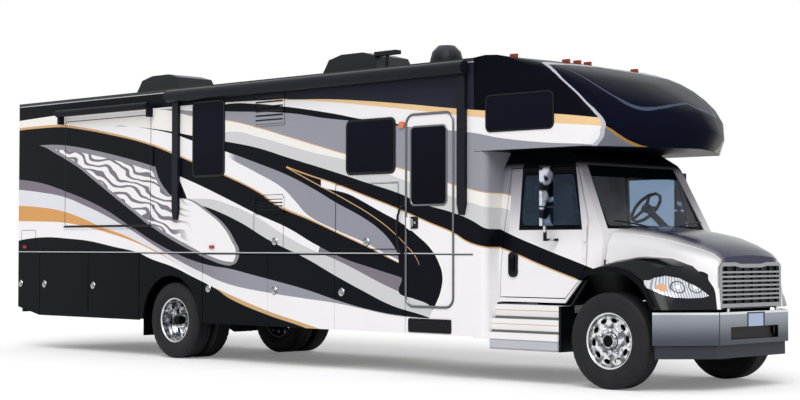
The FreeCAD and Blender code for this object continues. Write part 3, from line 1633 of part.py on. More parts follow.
# Slide rooms: hollow boxes, open towards the coach, with a flange outside
def slide_room(x0, sill, length, height, depth):
    x1 = x0 + length
    z0 = belt_z + sill
    z1 = z0 + height
    y1 = half_width + slide_flange_proud
    y0 = y1 - depth
    room = box(x0, x1, y0, y1, z0, z1)
    hollow = box(x0 + slide_wall, x1 - slide_wall, y0 - overrun, y1 - slide_wall, z0 + slide_wall,
                 z1 - slide_wall)
    flange = box(x0 - slide_flange, x1 + slide_flange, half_width + seat_gap, y1,
                 z0 - slide_flange, z1 + slide_flange)
    core = box(x0 + slide_wall, x1 - slide_wall, half_width - slide_wall, y1 - slide_wall,
               z0 + slide_wall, z1 - slide_wall)
    return joined([room, flange]).cut(hollow).cut(core)


def topper(room_x, sill, length, height):
    """Small awning roller that rides above a slide room on two brackets."""
    x0 = room_x - topper_overlap
    x1 = x0 + length + topper_overlap * 2
    z = belt_z + sill + height + topper_rise
    y = side_line - topper_radius
    pieces = [bar(V(x0, y, z), V(x1, y, z), topper_radius, shaft_sides)]
    bracket_y = half_width + slide_flange_proud - overrun / 4
    for x in (x0, x1 - topper_radius):
        pieces.append(box(x, x + topper_radius, bracket_y, y, z - topper_rise - slide_flange, z))
    return joined(pieces)


def slide_right():
    sizes = (right_slide_x, right_slide_sill, right_slide_length, right_slide_height)
    room = slide_room(*sizes, right_slide_depth)
    return mirrored(joined([room, topper(*sizes)]))


def left_window_box(y0, y1, grow):
    x0 = left_slide_x + (left_slide_length - left_slide_window_length) / 2
    z0 = belt_z + left_slide_sill + left_slide_window_sill
    return rounded_panel(x0 - grow, x0 + left_slide_window_length + grow, y0, y1, z0 - grow,
                         z0 + left_slide_window_height + grow, window_corner_radius + grow)


def slide_left():
    sizes = (left_slide_x, left_slide_sill, left_slide_length, left_slide_height)
    room = slide_room(*sizes, left_slide_depth)
    body = joined([room, topper(*sizes)])
    return body.cut(left_window_box(half_width - slide_wall * 2, side_line, seat_gap))


def slide_window():
    y1 = half_width + slide_flange_proud
    return left_window_box(y1 - slide_wall, y1 + window_frame_proud, 0)


# Wheels
def tyre(x, y, sign):
    """Tyre through rings from one bead over the tread to the other; offsets run outwards."""
    half = tyre_width / 2
    crown = tyre_crown_width / 2
    shoulder = (half + crown) / 2
    inner = [(tyre_bead_radius, -tyre_bead_half), (tyre_wall_radius, -half),
             (tyre_radius - tyre_shoulder_drop, -shoulder), (tyre_radius, -crown)]
    profile = inner + [(radius, -offset) for radius, offset in reversed(inner)]
    centre = V(x, y, axle_z)
    bore = [(rim_radius + seat_gap, -half - overrun), (rim_radius + seat_gap, half + overrun)]
    outward = V(0, sign, 0)
    return turned(profile, centre, outward, rim_sides).cut(turned(bore, centre, outward, rim_sides))


def on_circle(circle, angle):
    return V(circle * math.cos(angle), 0, circle * math.sin(angle))


def disc_holes(centre, outward, face):
    """Round hand holes through the disc, well clear of its two faces."""
    holes = []
    for index in range(hand_hole_count):
        place = centre + on_circle(hand_hole_circle, math.radians(360) * index / hand_hole_count)
        holes.append(bar(place + outward * (face - disc_thickness * 2),
                         place + outward * (face + disc_thickness), hand_hole_radius, few_sides))
    return grouped(holes)


def rim(x, y, sign, inner_end, face, hub_proud):
    """Barrel with one disc, hand holes and a hub; face is the disc's outer face."""
    centre = V(x, y, axle_z)
    outward = V(0, sign, 0)
    back = face - disc_thickness
    well = rim_radius - rim_wall
    barrel = turned([(rim_radius, inner_end), (rim_radius, rim_half)], centre, outward, rim_sides)
    inside = turned([(well, inner_end - overrun), (well, back)], centre, outward, rim_sides)
    dish = turned([(well - rim_wall, face), (well, rim_half + overrun)], centre, outward, rim_sides)
    hollow = barrel.cut(grouped([inside, dish, disc_holes(centre, outward, face)]))
    hub = turned([(hub_cap_radius, back), (hub_cap_radius, face + hub_proud - rim_wall),
                  (hub_cap_radius - rim_wall, face + hub_proud)], centre, outward, shaft_sides)
    bore = bar(centre + outward * (back - overrun), centre + outward * (face + hub_proud + overrun),
               hub_bore_radius, shaft_sides)
    bore.rotate(centre, outward, 180 / shaft_sides)
    return joined([hollow, hub]).cut(bore)


def knuckle(sign):
    """Yoke over the axle's boss with the spindle that carries the wheel."""
    y = kingpin_half
    beam_top = axle_z - beam_drop
    boss_bottom = beam_top - beam_height
    boss_top = boss_bottom + beam_height + beam_drop * 2
    lug = beam_drop / 2
    lugs = []
    for z0 in (boss_bottom - seat_gap - lug, boss_top + seat_gap):
        lugs.append(box(front_axle_x - kingpin_boss_radius, front_axle_x + kingpin_boss_radius,
                        y - kingpin_boss_radius, y + knuckle_reach, z0, z0 + lug))
    web = box(front_axle_x - kingpin_boss_radius, front_axle_x + kingpin_boss_radius,
              y + knuckle_web, y + knuckle_reach,
              boss_bottom - seat_gap - lug, boss_top + seat_gap + lug)
    spindle = bar(V(front_axle_x, y + (knuckle_web + knuckle_reach) / 2, axle_z),
                  V(front_axle_x, front_track_half + tyre_width / 2 - seat_gap, axle_z),
                  spindle_radius, shaft_sides)
    shape = joined(lugs + [web, spindle])
    return shape if sign > 0 else mirrored(shape)


# Baggage doors and the hatch, each hinged along one edge
def baggage_door(span, shares, index, sign):
    stations = seams(span, shares)
    x0 = stations[index] + panel_gap / 2
    x1 = stations[index + 1] - panel_gap / 2
    y0 = half_width - bay_door_thickness
    panel = box(x0, x1, y0, half_width, skirt_z, belt_z - panel_gap)
    centre = V(x0 + latch_inset, half_width - overrun / 2, skirt_z + skirt_height * latch_drop_share)
    latch = bar(centre, centre + V(0, latch_proud + overrun / 2, 0), latch_radius, few_sides)
    foot = V(x1, half_width, skirt_z + latch_inset)
    bead = bar(foot, V(foot.x, foot.y, belt_z - latch_inset), hinge_bead_radius, few_sides)
    door = joined([panel, latch, bead])
    return door if sign > 0 else mirrored(door)


def hatch():
    panel = hatch_box(half_width - bay_door_thickness, half_width, 0)
    x = hatch_x + hatch_length / 2
    centre = V(x, half_width - overrun / 2, belt_z + hatch_sill + latch_inset / 2)
    latch = bar(centre, centre + V(0, latch_proud + overrun / 2, 0), latch_radius, few_sides)
    foot = V(hatch_x + latch_inset, half_width, belt_z + hatch_sill + hatch_height)
    bead = bar(foot, foot + V(hatch_length - latch_inset * 2, 0, 0), hinge_bead_radius, few_sides)
    return mirrored(joined([panel, latch, bead]))


def save_body():
    save("chassis_frame", chassis_frame())
    save("axles", axles())
    save("engine_block", engine_block())
    save("storage_bays", storage_bays())
    save("coach_floor", coach_floor())
    save("wall_right", wall_right())
    save("wall_left", wall_left())
    save("television_box", hatch_pocket())
    save("rear_wall", rear_wall())
    save("coach_roof", coach_roof())
    save("front_cap", front_cap())
    save("cab_surround", cab_surround())
    save("coach_windows", coach_windows())
    save("wall_vents", wall_vents())
    save("roof_units", roof_units())
    save("awning", awning())
    save("lamps", lamps())
    save("rear_bumper", rear_bumper())
    save("ladder", ladder())


def save_cab():
    save("cab_shell", cab_shell_piece())
    save("windshield", windshield())
    save("cab_interior", cab_interior())
    save("cab_steps", cab_steps())
    save("front_bumper", front_bumper())
    save("air_dam", air_dam())
    save("steering_wheel", steering_wheel())
    for side, turn in (("right", lambda shape: shape), ("left", mirrored)):
        save("cab_door_" + side, turn(cab_door()))
        save("cab_door_glass_" + side, turn(cab_door_glass()))
        save("mirror_" + side, turn(mirror()))


def save_hood():
    save("hood", hood())
    save("grille", grille())
    save("headlamps", headlamps())
    save("fender_flares", fender_flares())


def save_openers():
    save("entry_door", entry_door())
    save("entry_window", entry_window())
    save("slide_right", slide_right())
    save("slide_left", slide_left())
    save("slide_window", slide_window())
    save("hatch", hatch())
    save("baggage_door_right_1", baggage_door(rear_bays, rear_bay_shares, 0, -1))
    save("baggage_door_right_2", baggage_door(rear_bays, rear_bay_shares, 1, -1))
    save("baggage_door_right_3", baggage_door(front_bays, front_bay_shares, 0, -1))
    save("baggage_door_right_4", baggage_door(front_bays, front_bay_shares, 1, -1))
    save("baggage_door_right_5", baggage_door(front_bays, front_bay_shares, 2, -1))
    save("baggage_door_left_1", baggage_door(rear_bays, rear_bay_shares, 0, 1))
    save("baggage_door_left_2", baggage_door(front_bays, front_bay_shares, 1, 1))


def save_wheels():
    for side, sign in (("right", -1), ("left", 1)):
        y = sign * front_track_half
        save("tyre_front_" + side, tyre(front_axle_x, y, sign))
        save("rim_front_" + side, rim(front_axle_x, y, sign, -rim_half, disc_face_offset, front_hub_proud))
        save("knuckle_" + side, knuckle(sign))
        y = sign * twin_outer_half
        inner_y = sign * (twin_outer_half - twin_spacing)
        save("tyre_rear_" + side, grouped([tyre(rear_axle_x, y, sign), tyre(rear_axle_x, inner_y, sign)]))
        save("rim_rear_" + side, rim(rear_axle_x, y, sign, -twin_spacing - rim_half, rear_disc_offset,
                                     rear_hub_proud))


save_body()
save_cab()
save_hood()
save_openers()
save_wheels()
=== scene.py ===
import math

import bmesh
import bpy
from mathutils import Euler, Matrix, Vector


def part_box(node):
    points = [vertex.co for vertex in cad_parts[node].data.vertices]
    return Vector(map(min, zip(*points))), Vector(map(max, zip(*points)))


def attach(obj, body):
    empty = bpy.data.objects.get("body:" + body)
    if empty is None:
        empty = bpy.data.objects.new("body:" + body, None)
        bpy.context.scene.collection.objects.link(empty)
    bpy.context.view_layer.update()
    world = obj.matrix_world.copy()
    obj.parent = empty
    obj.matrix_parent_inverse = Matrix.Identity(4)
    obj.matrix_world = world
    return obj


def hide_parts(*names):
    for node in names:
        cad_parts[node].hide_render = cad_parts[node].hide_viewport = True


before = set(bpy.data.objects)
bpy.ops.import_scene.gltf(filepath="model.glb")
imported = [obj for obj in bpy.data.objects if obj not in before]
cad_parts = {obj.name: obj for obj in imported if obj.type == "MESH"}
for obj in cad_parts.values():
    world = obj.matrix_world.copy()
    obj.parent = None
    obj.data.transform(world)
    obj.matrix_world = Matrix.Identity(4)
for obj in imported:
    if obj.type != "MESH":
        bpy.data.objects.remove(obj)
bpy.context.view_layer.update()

scene = bpy.context.scene
scene.view_settings.view_transform = "Standard"

# Camera at the photograph's place
camera_place = Vector((15.790, -15.383, 1.463))
camera_turn = math.radians(44.2936)
camera_pitch = math.radians(1.6335)
camera_roll = math.radians(-0.0904)
camera_lens = 76.68
camera_sensor = 36.0
camera_reach = 200.0

# Studio
floor_half = 60.0
floor_lift = 0.16
lamp_strength = 1.55
lamp_softness = math.radians(38)
lamp_from = Vector((0.55, -0.75, 0.95))
room_strength = 0.62

# Colours of the paint, as red, green and blue from 0 to 255
black_paint = (14, 15, 23)
slate_paint = (38, 40, 52)
skirt_black = (10, 12, 19)
rear_tan = (214, 158, 98)
front_tan = (236, 200, 152)
mid_grey = (150, 150, 160)
light_grey = (206, 206, 208)
white_paint = (240, 238, 240)
cream_paint = (240, 236, 232)
mauve_grey = (126, 119, 131)
silver_paint = (146, 147, 157)
pale_blue = (222, 223, 229)
feather_grey = (140, 138, 146)
pinstripe_tan = (206, 168, 122)
pinstripe_silver = (188, 190, 198)
gold_line = (160, 128, 74)
cap_navy = (13, 16, 30)
cap_under = (112, 115, 126)
# painted highlight along the cap's crease
crease_highlight = (70, 78, 100)
# painted shade on the upper cab
cab_upper_shade = (158, 154, 164)
step_silver = (188, 189, 196)
step_shadow = (118, 112, 112)
hood_navy = (40, 44, 66)
# silver paint that also stands for painted reflection
hood_silver_and_sheen = (222, 221, 224)
membrane_grey = (150, 152, 156)
awning_slate = (22, 25, 34)

# Colours of glass, lamps, plastics, rubber and metals
glass_tint = (206, 210, 216)
door_glass_tint = (158, 184, 212)
window_dark = (6, 8, 18)
window_blue = (10, 12, 28)
tail_red = (150, 14, 18)
marker_amber = (158, 62, 20)
porch_amber = (224, 104, 22)
turn_amber = (222, 168, 124)
reflector_shade = (150, 156, 166)
reflector_glint = (232, 236, 242)
bowl_rim = (70, 74, 84)
bulb_white = (250, 250, 252)
trim_black = (16, 16, 19)
fender_black = (9, 9, 12)
dam_grey = (50, 53, 60)
cab_grey = (60, 60, 66)
shroud_dark = (24, 25, 30)
shroud_top_highlight = (74, 77, 86)
lid_white = (226, 229, 233)
rubber_dark = (20, 20, 22)
rubber_grey = (40, 40, 43)
steel_grey = (96, 98, 104)
chassis_black = (34, 34, 38)
chrome_bright = (214, 217, 222)
satin_grey = (150, 152, 158)
mirror_dark = (24, 27, 34)
mirror_highlight = (206, 212, 222)
bumper_lower_shade = (74, 79, 88)
bumper_grey = (158, 163, 172)
bumper_top_highlight = (226, 228, 232)
bumper_seam = (40, 42, 48)
plate_edge = (44, 56, 78)
plate_blue = (168, 184, 210)
# Painted reflection streaks of the polished disc, and the painted highlight on its lip
disc_reflection_dark = (112, 114, 120)
disc_reflection_bright = (238, 240, 244)
lip_highlight = (232, 234, 238)
lip_shadow = (84, 86, 92)
hub_shadow = (60, 62, 68)
barrel_dark = (30, 31, 34)
floor_white = (250, 250, 250)

# Places that several pieces and paints share, in metres
half_width = 1.27
coach_front_x = 3.161
belt_low = 1.39
belt_high = 1.414
front_axle_x = 4.955
rear_axle_x = -2.245
axle_z = 0.505
slide_x = (-4.655, -2.675)
slide_z = (1.785, 3.26)

# Where the coach's paint changes
slate_fade = (-2.0, 1.0)
rear_fade = (-2.4, -0.6)
swoosh_fade = (-1.1, -0.9)
feather_fade = (-1.75, -2.25)
feather_border = 0.07
feather_low_border = 0.05
front_part_x = 0.68
grey_slant = 0.35
grey_slant_x = 0.14
topper_side = 1.3

# Where the cab's paint changes: white door fading to painted shade at its top, painted shadow below the bunk,
# door seal, handle cup and arch
cab_paint_x = 3.46
cab_back_x = 3.335
cab_top_z = 2.45
cab_upper_shade_fade = (1.4, 2.3)
cab_shadow_fade = (2.3, 2.42)
seal_rear_x = 3.606
seal_front_x = 4.822
seal_lean = 0.2
seal_low_z = 1.668
handle_x = (3.500, 3.590)
handle_z = (1.2, 1.38)
handle_side = 1.045
arch_top_z = 1.25
firewall_x = 4.0
firewall_z = 1.35
firewall_side = 1.0

# Veins of the white swoosh
vein_turn = (0, math.radians(-38), 0)
vein_stretch = (0.7, 0.0, 1.6)
vein_wave = {"Scale": 2.3, "Distortion": 11.0, "Detail": 0.6, "Detail Scale": 1.3}
vein_fade = (0.36, 0.28)

# Overcab cap: its lines, its underside in painted shade, and a painted highlight along the crease round its
# top as a rounded oblong
cap_line_half = 0.014
cap_seam_half = 0.013
cap_under_z = 2.546
crease_middle_x = 3.75
crease_length = 1.37
crease_breadth = 0.98
crease_power = 4.0
crease_half = 0.05
crease_low_z = 2.8

# Bonnet: shares of its half width, and where its fade, its ridge's painted highlight, pinstripe and wheel
# arch lie
bonnet_lean_x = 5.3
bonnet_lean = -0.22
bonnet_fade = (0.55, 0.98)
ridge_share = 0.86
ridge_half = 0.008
bonnet_low_fade = (1.5, 1.28)
bonnet_edge_fade = (0.8, 0.95)
bonnet_line_half = 0.005
bonnet_line_z = 1.2
bonnet_line_x = (4.8, 5.6)
hood_arch_x = 5.56
hood_arch_z = 1.235

# Wheels: painted rings as radius and half width, and where the dark barrel begins
lip_radius = 0.279
lip_ring = (0.267, 0.0045)
hub_ring = (0.093, 0.005)
barrel_rear_y = 0.96
barrel_step_y = 0.14

# Bumper: painted shade below, painted highlight along its top, painted shade in its slot, and its blank plate
bumper_shade_fade = (0.5, 0.83)
bumper_edge_z = 0.792
bumper_seam_place = (0.652, 0.004)
bumper_slot_y = (0.0, 0.47)
bumper_slot_z = (0.595, 0.075)
plate_depth = 5.97
plate_middle_y = 0.02
plate_middle_z = 0.722
plate_half = 0.14
plate_border = 0.03
plate_shape = 0.5

# Headlamp: its two bowls and its amber part, as distances from the middle and above the ground
bowl_middles = (0.81, 0.965)
bowl_z = 1.075
bowl_ring = (0.058, 0.006)
bulb_radius = 0.02
amber_middle = 1.09
amber_z = 1.07
amber_fade = (0.05, 0.03)

# Cab steps: height, half width and colour of each line
step_lines = ((0.468, 0.006, mid_grey), (0.562, 0.014, step_shadow), (0.712, 0.014, step_shadow),
              (0.64, 0.004, pinstripe_tan), (0.79, 0.004, pinstripe_tan), (0.37, 0.008, mid_grey))
step_silver_z = 0.465
step_arch_x = 4.297

# Other places in the materials
window_fade = (1.9, 3.4)
amber_lamps_x = -3.0
roof_lid_place = (-2.198, 0.45)
roof_edge_y = 1.235
roof_bead_place = (3.545, 0.006)

# Edges of the painted bands on the side, from the top down: along the coach, height
front_tan_top = ((-6, 2.9), (0, 3.32), (0.07, 3.31), (0.77, 3.27), (1.43, 3.21), (2.06, 3.14),
    (2.87, 3.04), (3.33, 2.99), (4.33, 2.9), (4.87, 2.835), (5.3, 2.78))
top_white_edge = ((-5.94, 3.28), (-5.37, 3.33), (-4.88, 3.35), (-3.06, 3.35), (-1.03, 3.34), (0.07, 3.3),
    (0.77, 3.24), (1.43, 3.16), (2.06, 3.08), (2.87, 2.97), (3.33, 2.91), (4.33, 2.8), (4.87, 2.75),
    (5.3, 2.7))
sliver_edge = ((-6, 3.2), (-1.5, 3.2), (-1.1, 3.32), (-0.54, 3.29), (-0.03, 3.23), (0.83, 3.1),
    (1.43, 2.99), (1.93, 2.92), (2.3, 2.8), (5.3, 2.3))
mid_grey_edge = ((-6, 3.2), (-3, 3.25), (-2.64, 3.335), (-1.78, 3.27), (-1.03, 3.22), (-0.03, 3.15),
    (0.83, 3.03), (1.43, 2.96), (1.9, 2.9), (2.4, 2.84), (3.1, 2.76), (3.6, 2.67), (4.2, 2.6),
    (4.75, 2.56), (5.3, 2.5))
cream_edge = ((-6, 3.34), (-2.64, 3.34), (-1.78, 3.2), (-1.03, 3.1), (-0.54, 3), (0.07, 2.85),
    (0.59, 2.72), (1.12, 2.59), (1.95, 2.41), (2.4, 2.3), (3.1, 2.13), (3.4, 2.07), (5.3, 1.7))
grey_below_cream = ((-6, 2.9), (-1.6, 2.9), (-1.03, 2.96), (-0.54, 2.88), (0.07, 2.74), (0.59, 2.62),
    (1.12, 2.52), (2.13, 2.24), (3.1, 1.98), (4.6, 1.6), (5.3, 1.4))
blade_top = ((-6, 2.9), (-3.7, 3.1), (-3.5, 3.15), (-3.06, 3.12), (-2.38, 3.04), (-1.78, 2.94),
    (-1.13, 2.84), (-0.54, 2.74), (0.07, 2.59), (0.93, 2.38), (1.43, 2.25), (1.98, 2.11), (2.36, 1.98),
    (2.84, 1.87), (3.1, 1.79), (3.38, 1.663), (3.97, 1.463), (4.51, 1.298), (5.3, 1.05))
blade_low = ((-6, 3), (-3.5, 3.14), (-3.06, 3.08), (-2.38, 3), (-1.77, 2.85), (-1.13, 2.71), (-0.54, 2.55),
    (0.07, 2.37), (0.59, 2.17), (0.93, 2.02), (1.43, 1.82), (1.74, 1.65), (1.93, 1.48), (2.06, 1.3),
    (2.3, 1.1), (5.3, 0.3))
swoosh_low = ((-6, 3.06), (-3.5, 3.15), (-2.38, 3.02), (-1.77, 2.87), (-1.2, 2.72), (-1.03, 2.62),
    (-0.54, 2.43), (-0.03, 2.22), (0.21, 2.05), (0.47, 1.86), (0.93, 1.69), (1.42, 1.54), (1.74, 1.42),
    (2.06, 1.3), (2.3, 1.1), (5.3, 0.3))
tan_line_edge = ((-6, 3.235), (-5.37, 3.245), (-4.79, 3.235), (-4.18, 3.16), (-3.5, 3.05), (-3.06, 2.965),
    (-2.63, 2.865), (-2.22, 2.745), (-1.79, 2.61), (-1.15, 2.42), (-0.51, 2.2), (-0.03, 1.985),
    (0.47, 1.83), (0.93, 1.675), (1.42, 1.515), (2.05, 1.29), (2.36, 1.2), (2.89, 1.05), (5.3, 0.3))
big_black_edge = ((-6, 3.2), (-5.37, 3.21), (-4.79, 3.2), (-4.18, 3.13), (-3.5, 3.02), (-3.06, 2.94),
    (-2.63, 2.84), (-2.22, 2.72), (-1.79, 2.59), (-1.15, 2.4), (-0.51, 2.18), (-0.03, 1.96), (0.47, 1.81),
    (0.93, 1.66), (1.42, 1.5), (2.05, 1.28), (2.36, 1.19), (2.89, 1.04), (5.3, 0.3))
feather_top = ((-6, 2.9), (-5.6, 2.95), (-5.37, 2.96), (-4.88, 2.95), (-4.4, 2.9), (-3.94, 2.83),
    (-3.28, 2.71), (-2.63, 2.57), (-1.81, 2.34), (-1.03, 2.08), (-0.51, 1.9), (0.07, 1.72), (0.59, 1.51),
    (1.1, 1.34), (1.58, 1.23), (2.08, 1.12), (2.36, 1.05), (2.8, 1.03), (5.3, 0.3))
feather_low = ((-6, 3), (-5.37, 2.965), (-4.88, 2.81), (-4.4, 2.63), (-3.94, 2.4), (-3.49, 2.17),
    (-3.05, 1.95), (-2.63, 1.74), (-2.21, 1.57), (-1.81, 1.43), (-1.49, 1.33), (-0.97, 1.24), (-0.6, 1.3))
inner_grey_edge = ((-6, 2.6), (-2.4, 2.2), (-1.89, 2.12), (-1.42, 2.1), (-1.03, 2.02), (-0.54, 1.87),
    (-0.03, 1.65), (0.42, 1.48), (0.97, 1.32), (1.99, 0.97), (2.3, 0.89), (2.58, 0.82), (2.85, 0.79),
    (3.06, 0.71), (5.3, 0.3))
low_black_edge = ((-6, 3.2), (-2.4, 2.6), (-1.95, 2.2), (-1.89, 2.09), (-1.42, 1.98), (-0.84, 1.8),
    (-0.25, 1.56), (0.42, 1.34), (0.93, 1.14), (1.42, 0.96), (1.9, 0.8), (2.48, 0.68), (3, 0.5),
    (5.3, 0.2))
mauve_edge = ((-5.94, 2.48), (-5.36, 2.42), (-4.73, 2.29), (-4.17, 2.15), (-3.67, 1.99), (-3.14, 1.77),
    (-2.63, 1.56), (-2.21, 1.42), (-1.81, 1.31), (-1.42, 1.24), (-1.02, 1.2), (-0.65, 1.14), (-0.28, 1.08),
    (0.42, 0.96), (0.93, 0.85), (1.42, 0.76), (1.9, 0.7), (2.48, 0.67), (3.1, 0.66), (5.3, 0.2))
pale_edge = ((-5.94, 2.33), (-5.36, 2.28), (-4.73, 2.2), (-4.17, 2.06), (-3.67, 1.91), (-3.14, 1.72),
    (-2.6, 1.5), (-2.1, 1.31), (-1.6, 1.15), (-1.02, 1), (-0.28, 0.91), (0.42, 0.85), (0.93, 0.81),
    (1.42, 0.75), (1.9, 0.69), (3.1, 0.64), (5.3, 0.2))
low_tan_edge = ((-5.93, 2.09), (-5.36, 2.06), (-4.73, 1.99), (-4.26, 1.89), (-3.76, 1.75), (-3.27, 1.64),
    (-2.8, 1.5), (-2.42, 1.38), (-2.05, 1.22), (-1.3, 0.9), (0, 0.5), (5.3, 0.2))
low_white_edge = ((-5.93, 1.86), (-5.36, 1.85), (-4.73, 1.83), (-4.26, 1.78), (-3.67, 1.68), (-3.05, 1.55),
    (-2.63, 1.43), (-2.34, 1.34), (-2.09, 1.24), (-1.3, 0.95), (0, 0.6), (5.3, 0.2))
taupe_edge = ((-5.94, 1.5), (-1.6, 1), (-1.3, 0.945), (-1.02, 0.87), (-0.28, 0.68), (0.42, 0.54),
    (0.7, 0.48), (1.2, 0.3), (5.3, 0.2))
skirt_edge = ((-5.93, 1.56), (-5.6, 1.6), (-5.11, 1.62), (-4.63, 1.6), (-4.16, 1.57), (-3.49, 1.48),
    (-3.05, 1.42), (-2.63, 1.31), (-2.21, 1.22), (-1.81, 1.1), (-1.3, 0.94), (-1.02, 0.82), (-0.28, 0.63),
    (0.42, 0.49), (0.7, 0.4), (1.2, 0.25), (5.3, 0.1))
front_white_edge = ((0, 2.49), (0.42, 2.37), (0.93, 2.24), (1.43, 2.09), (1.9, 1.95), (2.21, 1.85),
    (2.51, 1.75), (2.83, 1.65), (3.1, 1.53), (3.38, 1.464), (3.97, 1.276), (4.47, 1.125), (5.3, 0.9))
second_line = ((0.02, 2.48), (0.59, 2.25), (1.1, 2.05), (1.58, 1.84), (1.9, 1.66), (2.12, 1.5),
    (2.27, 1.37), (2.36, 1.19))

# Edges that run upright: height, along the coach
bowl_edge = ((0.4, -1.35), (1.22, -1.06), (1.28, -0.9), (1.41, -0.84), (1.55, -0.92), (1.75, -1.11),
    (1.93, -1.42), (2.1, -1.81), (2.14, -2.13), (2.2, -2.3), (2.6, -2.6), (4, -2.7))
crescent_edge = ((0.3, 2.3), (0.7, 2.5), (0.82, 2.58), (1, 2.67), (1.16, 2.69), (1.31, 2.63), (1.46, 2.51),
    (1.61, 2.3), (1.75, 2.06), (1.88, 1.74), (2.1, 1.2), (2.5, 0), (4, 0))
crescent_inner = ((0.3, 3), (0.8, 2.52), (0.9, 2.2), (0.97, 2), (1.12, 2.05), (1.3, 2), (4, 2))
seam_edge = ((2.4, 4.67), (2.54, 4.76), (2.7, 4.85), (2.83, 4.84), (3.01, 4.69), (3.23, 4.43),
    (3.43, 4.14), (3.57, 3.76), (3.7, 3.3))
arch_edge = ((0.3, 4.3), (0.62, 4.3), (1, 4.45), (1.13, 4.6), (1.2, 4.72), (1.3, 4.9))

# Lower line of the cap's front: distance from the middle, height
cap_low_edge = ((0, 2.5), (0.6, 2.53), (0.8, 2.58), (0.95, 2.65), (1.1, 2.74), (1.2, 2.81), (1.3, 2.86))

# Bonnet between the fenders: along the coach, half its width
bonnet_half = ((4.6, 1), (4.775, 0.985), (5.105, 0.915), (5.4, 0.83), (5.655, 0.73), (5.835, 0.65),
    (5.99, 0.605))

# Pinstripes along an edge: half a width, and from where to where along the coach
pinstripes = ((front_white_edge, 0.008, (0.05, 4.42)), (second_line, 0.006, (0.05, 2.33)),
              (cream_edge, 0.006, (-1.9, 7.0)))


def tone(colour):
    """Shader colour of a paint written from 0 to 255."""
    linear = []
    for value in colour:
        share = value / 255
        linear.append(share / 12.92 if share <= 0.04045 else ((share + 0.055) / 1.055) ** 2.4)
    return (*linear, 1.0)


def feed(value, socket):
    """Links a socket, or sets a number or a colour written from 0 to 255."""
    if isinstance(value, bpy.types.NodeSocket):
        socket.id_data.links.new(value, socket)
    else:
        socket.default_value = tone(value) if isinstance(value, tuple) else value


def new_node(kind, socket):
    """Node in the tree that a socket belongs to."""
    return socket.id_data.nodes.new(kind)


def split(vector):
    node = new_node("ShaderNodeSeparateXYZ", vector)
    feed(vector, node.inputs[0])
    return node.outputs


def maths(operation, *values):
    """Sum, product or the like of values, of which the first one is a socket."""
    node = new_node("ShaderNodeMath", values[0])
    node.operation = operation
    for value, socket in zip(values, node.inputs):
        feed(value, socket)
    return node.outputs[0]


def above(value, limit):
    return maths("GREATER_THAN", value, limit)


def below(value, limit):
    return maths("LESS_THAN", value, limit)


def close_to(value, middle, half):
    """1 within half of the middle value."""
    return maths("COMPARE", value, middle, half)


def both(first, *others):
    for other in others:
        first = maths("MULTIPLY", first, other)
    return first


def between(value, low, high):
    return both(above(value, low), below(value, high))


def distance(across, middle, upward, height):
    """Distance from a place, in the plane of two coordinates."""
    first = maths("SUBTRACT", across, middle)
    second = maths("SUBTRACT", upward, height)
    return maths("SQRT", maths("ADD", both(first, first), both(second, second)))


def waves(along, pitch):
    """Even waves, from -1 to 1."""
    return maths("SINE", maths("MULTIPLY", along, pitch))


def ramp(value, low, high):
    """0 at low and 1 at high, smooth between them."""
    node = new_node("ShaderNodeMapRange", value)
    node.interpolation_type = "SMOOTHSTEP"
    feed(value, node.inputs["Value"])
    node.inputs["From Min"].default_value = low
    node.inputs["From Max"].default_value = high
    return node.outputs["Result"]


def mixed(mask, under, over):
    node = new_node("ShaderNodeMix", mask)
    node.data_type = "RGBA"
    for value, index in ((mask, 0), (under, 6), (over, 7)):
        feed(value, node.inputs[index])
    return node.outputs[2]


def painted(colour, *layers):
    """The colour, with each layer's own colour over it where that layer's mask is 1."""
    for mask, over in layers:
        colour = mixed(mask, colour, over)
    return colour


def curve(along, points):
    """Value of a curve through points in metres, at this place along it."""
    start = points[0][0]
    length = points[-1][0] - start
    lowest = min(value for _, value in points)
    rise = max(value for _, value in points) - lowest
    node = new_node("ShaderNodeFloatCurve", along)
    spots = node.mapping.curves[0].points
    while len(spots) < len(points):
        spots.new(0.5, 0.5)
    for spot, (station, value) in zip(spots, points):
        spot.location = ((station - start) / length, (value - lowest) / rise)
        spot.handle_type = "AUTO"
    node.mapping.update()
    feed(maths("DIVIDE", maths("SUBTRACT", along, start), length), node.inputs["Value"])
    return maths("MULTIPLY_ADD", node.outputs[0], rise, lowest)


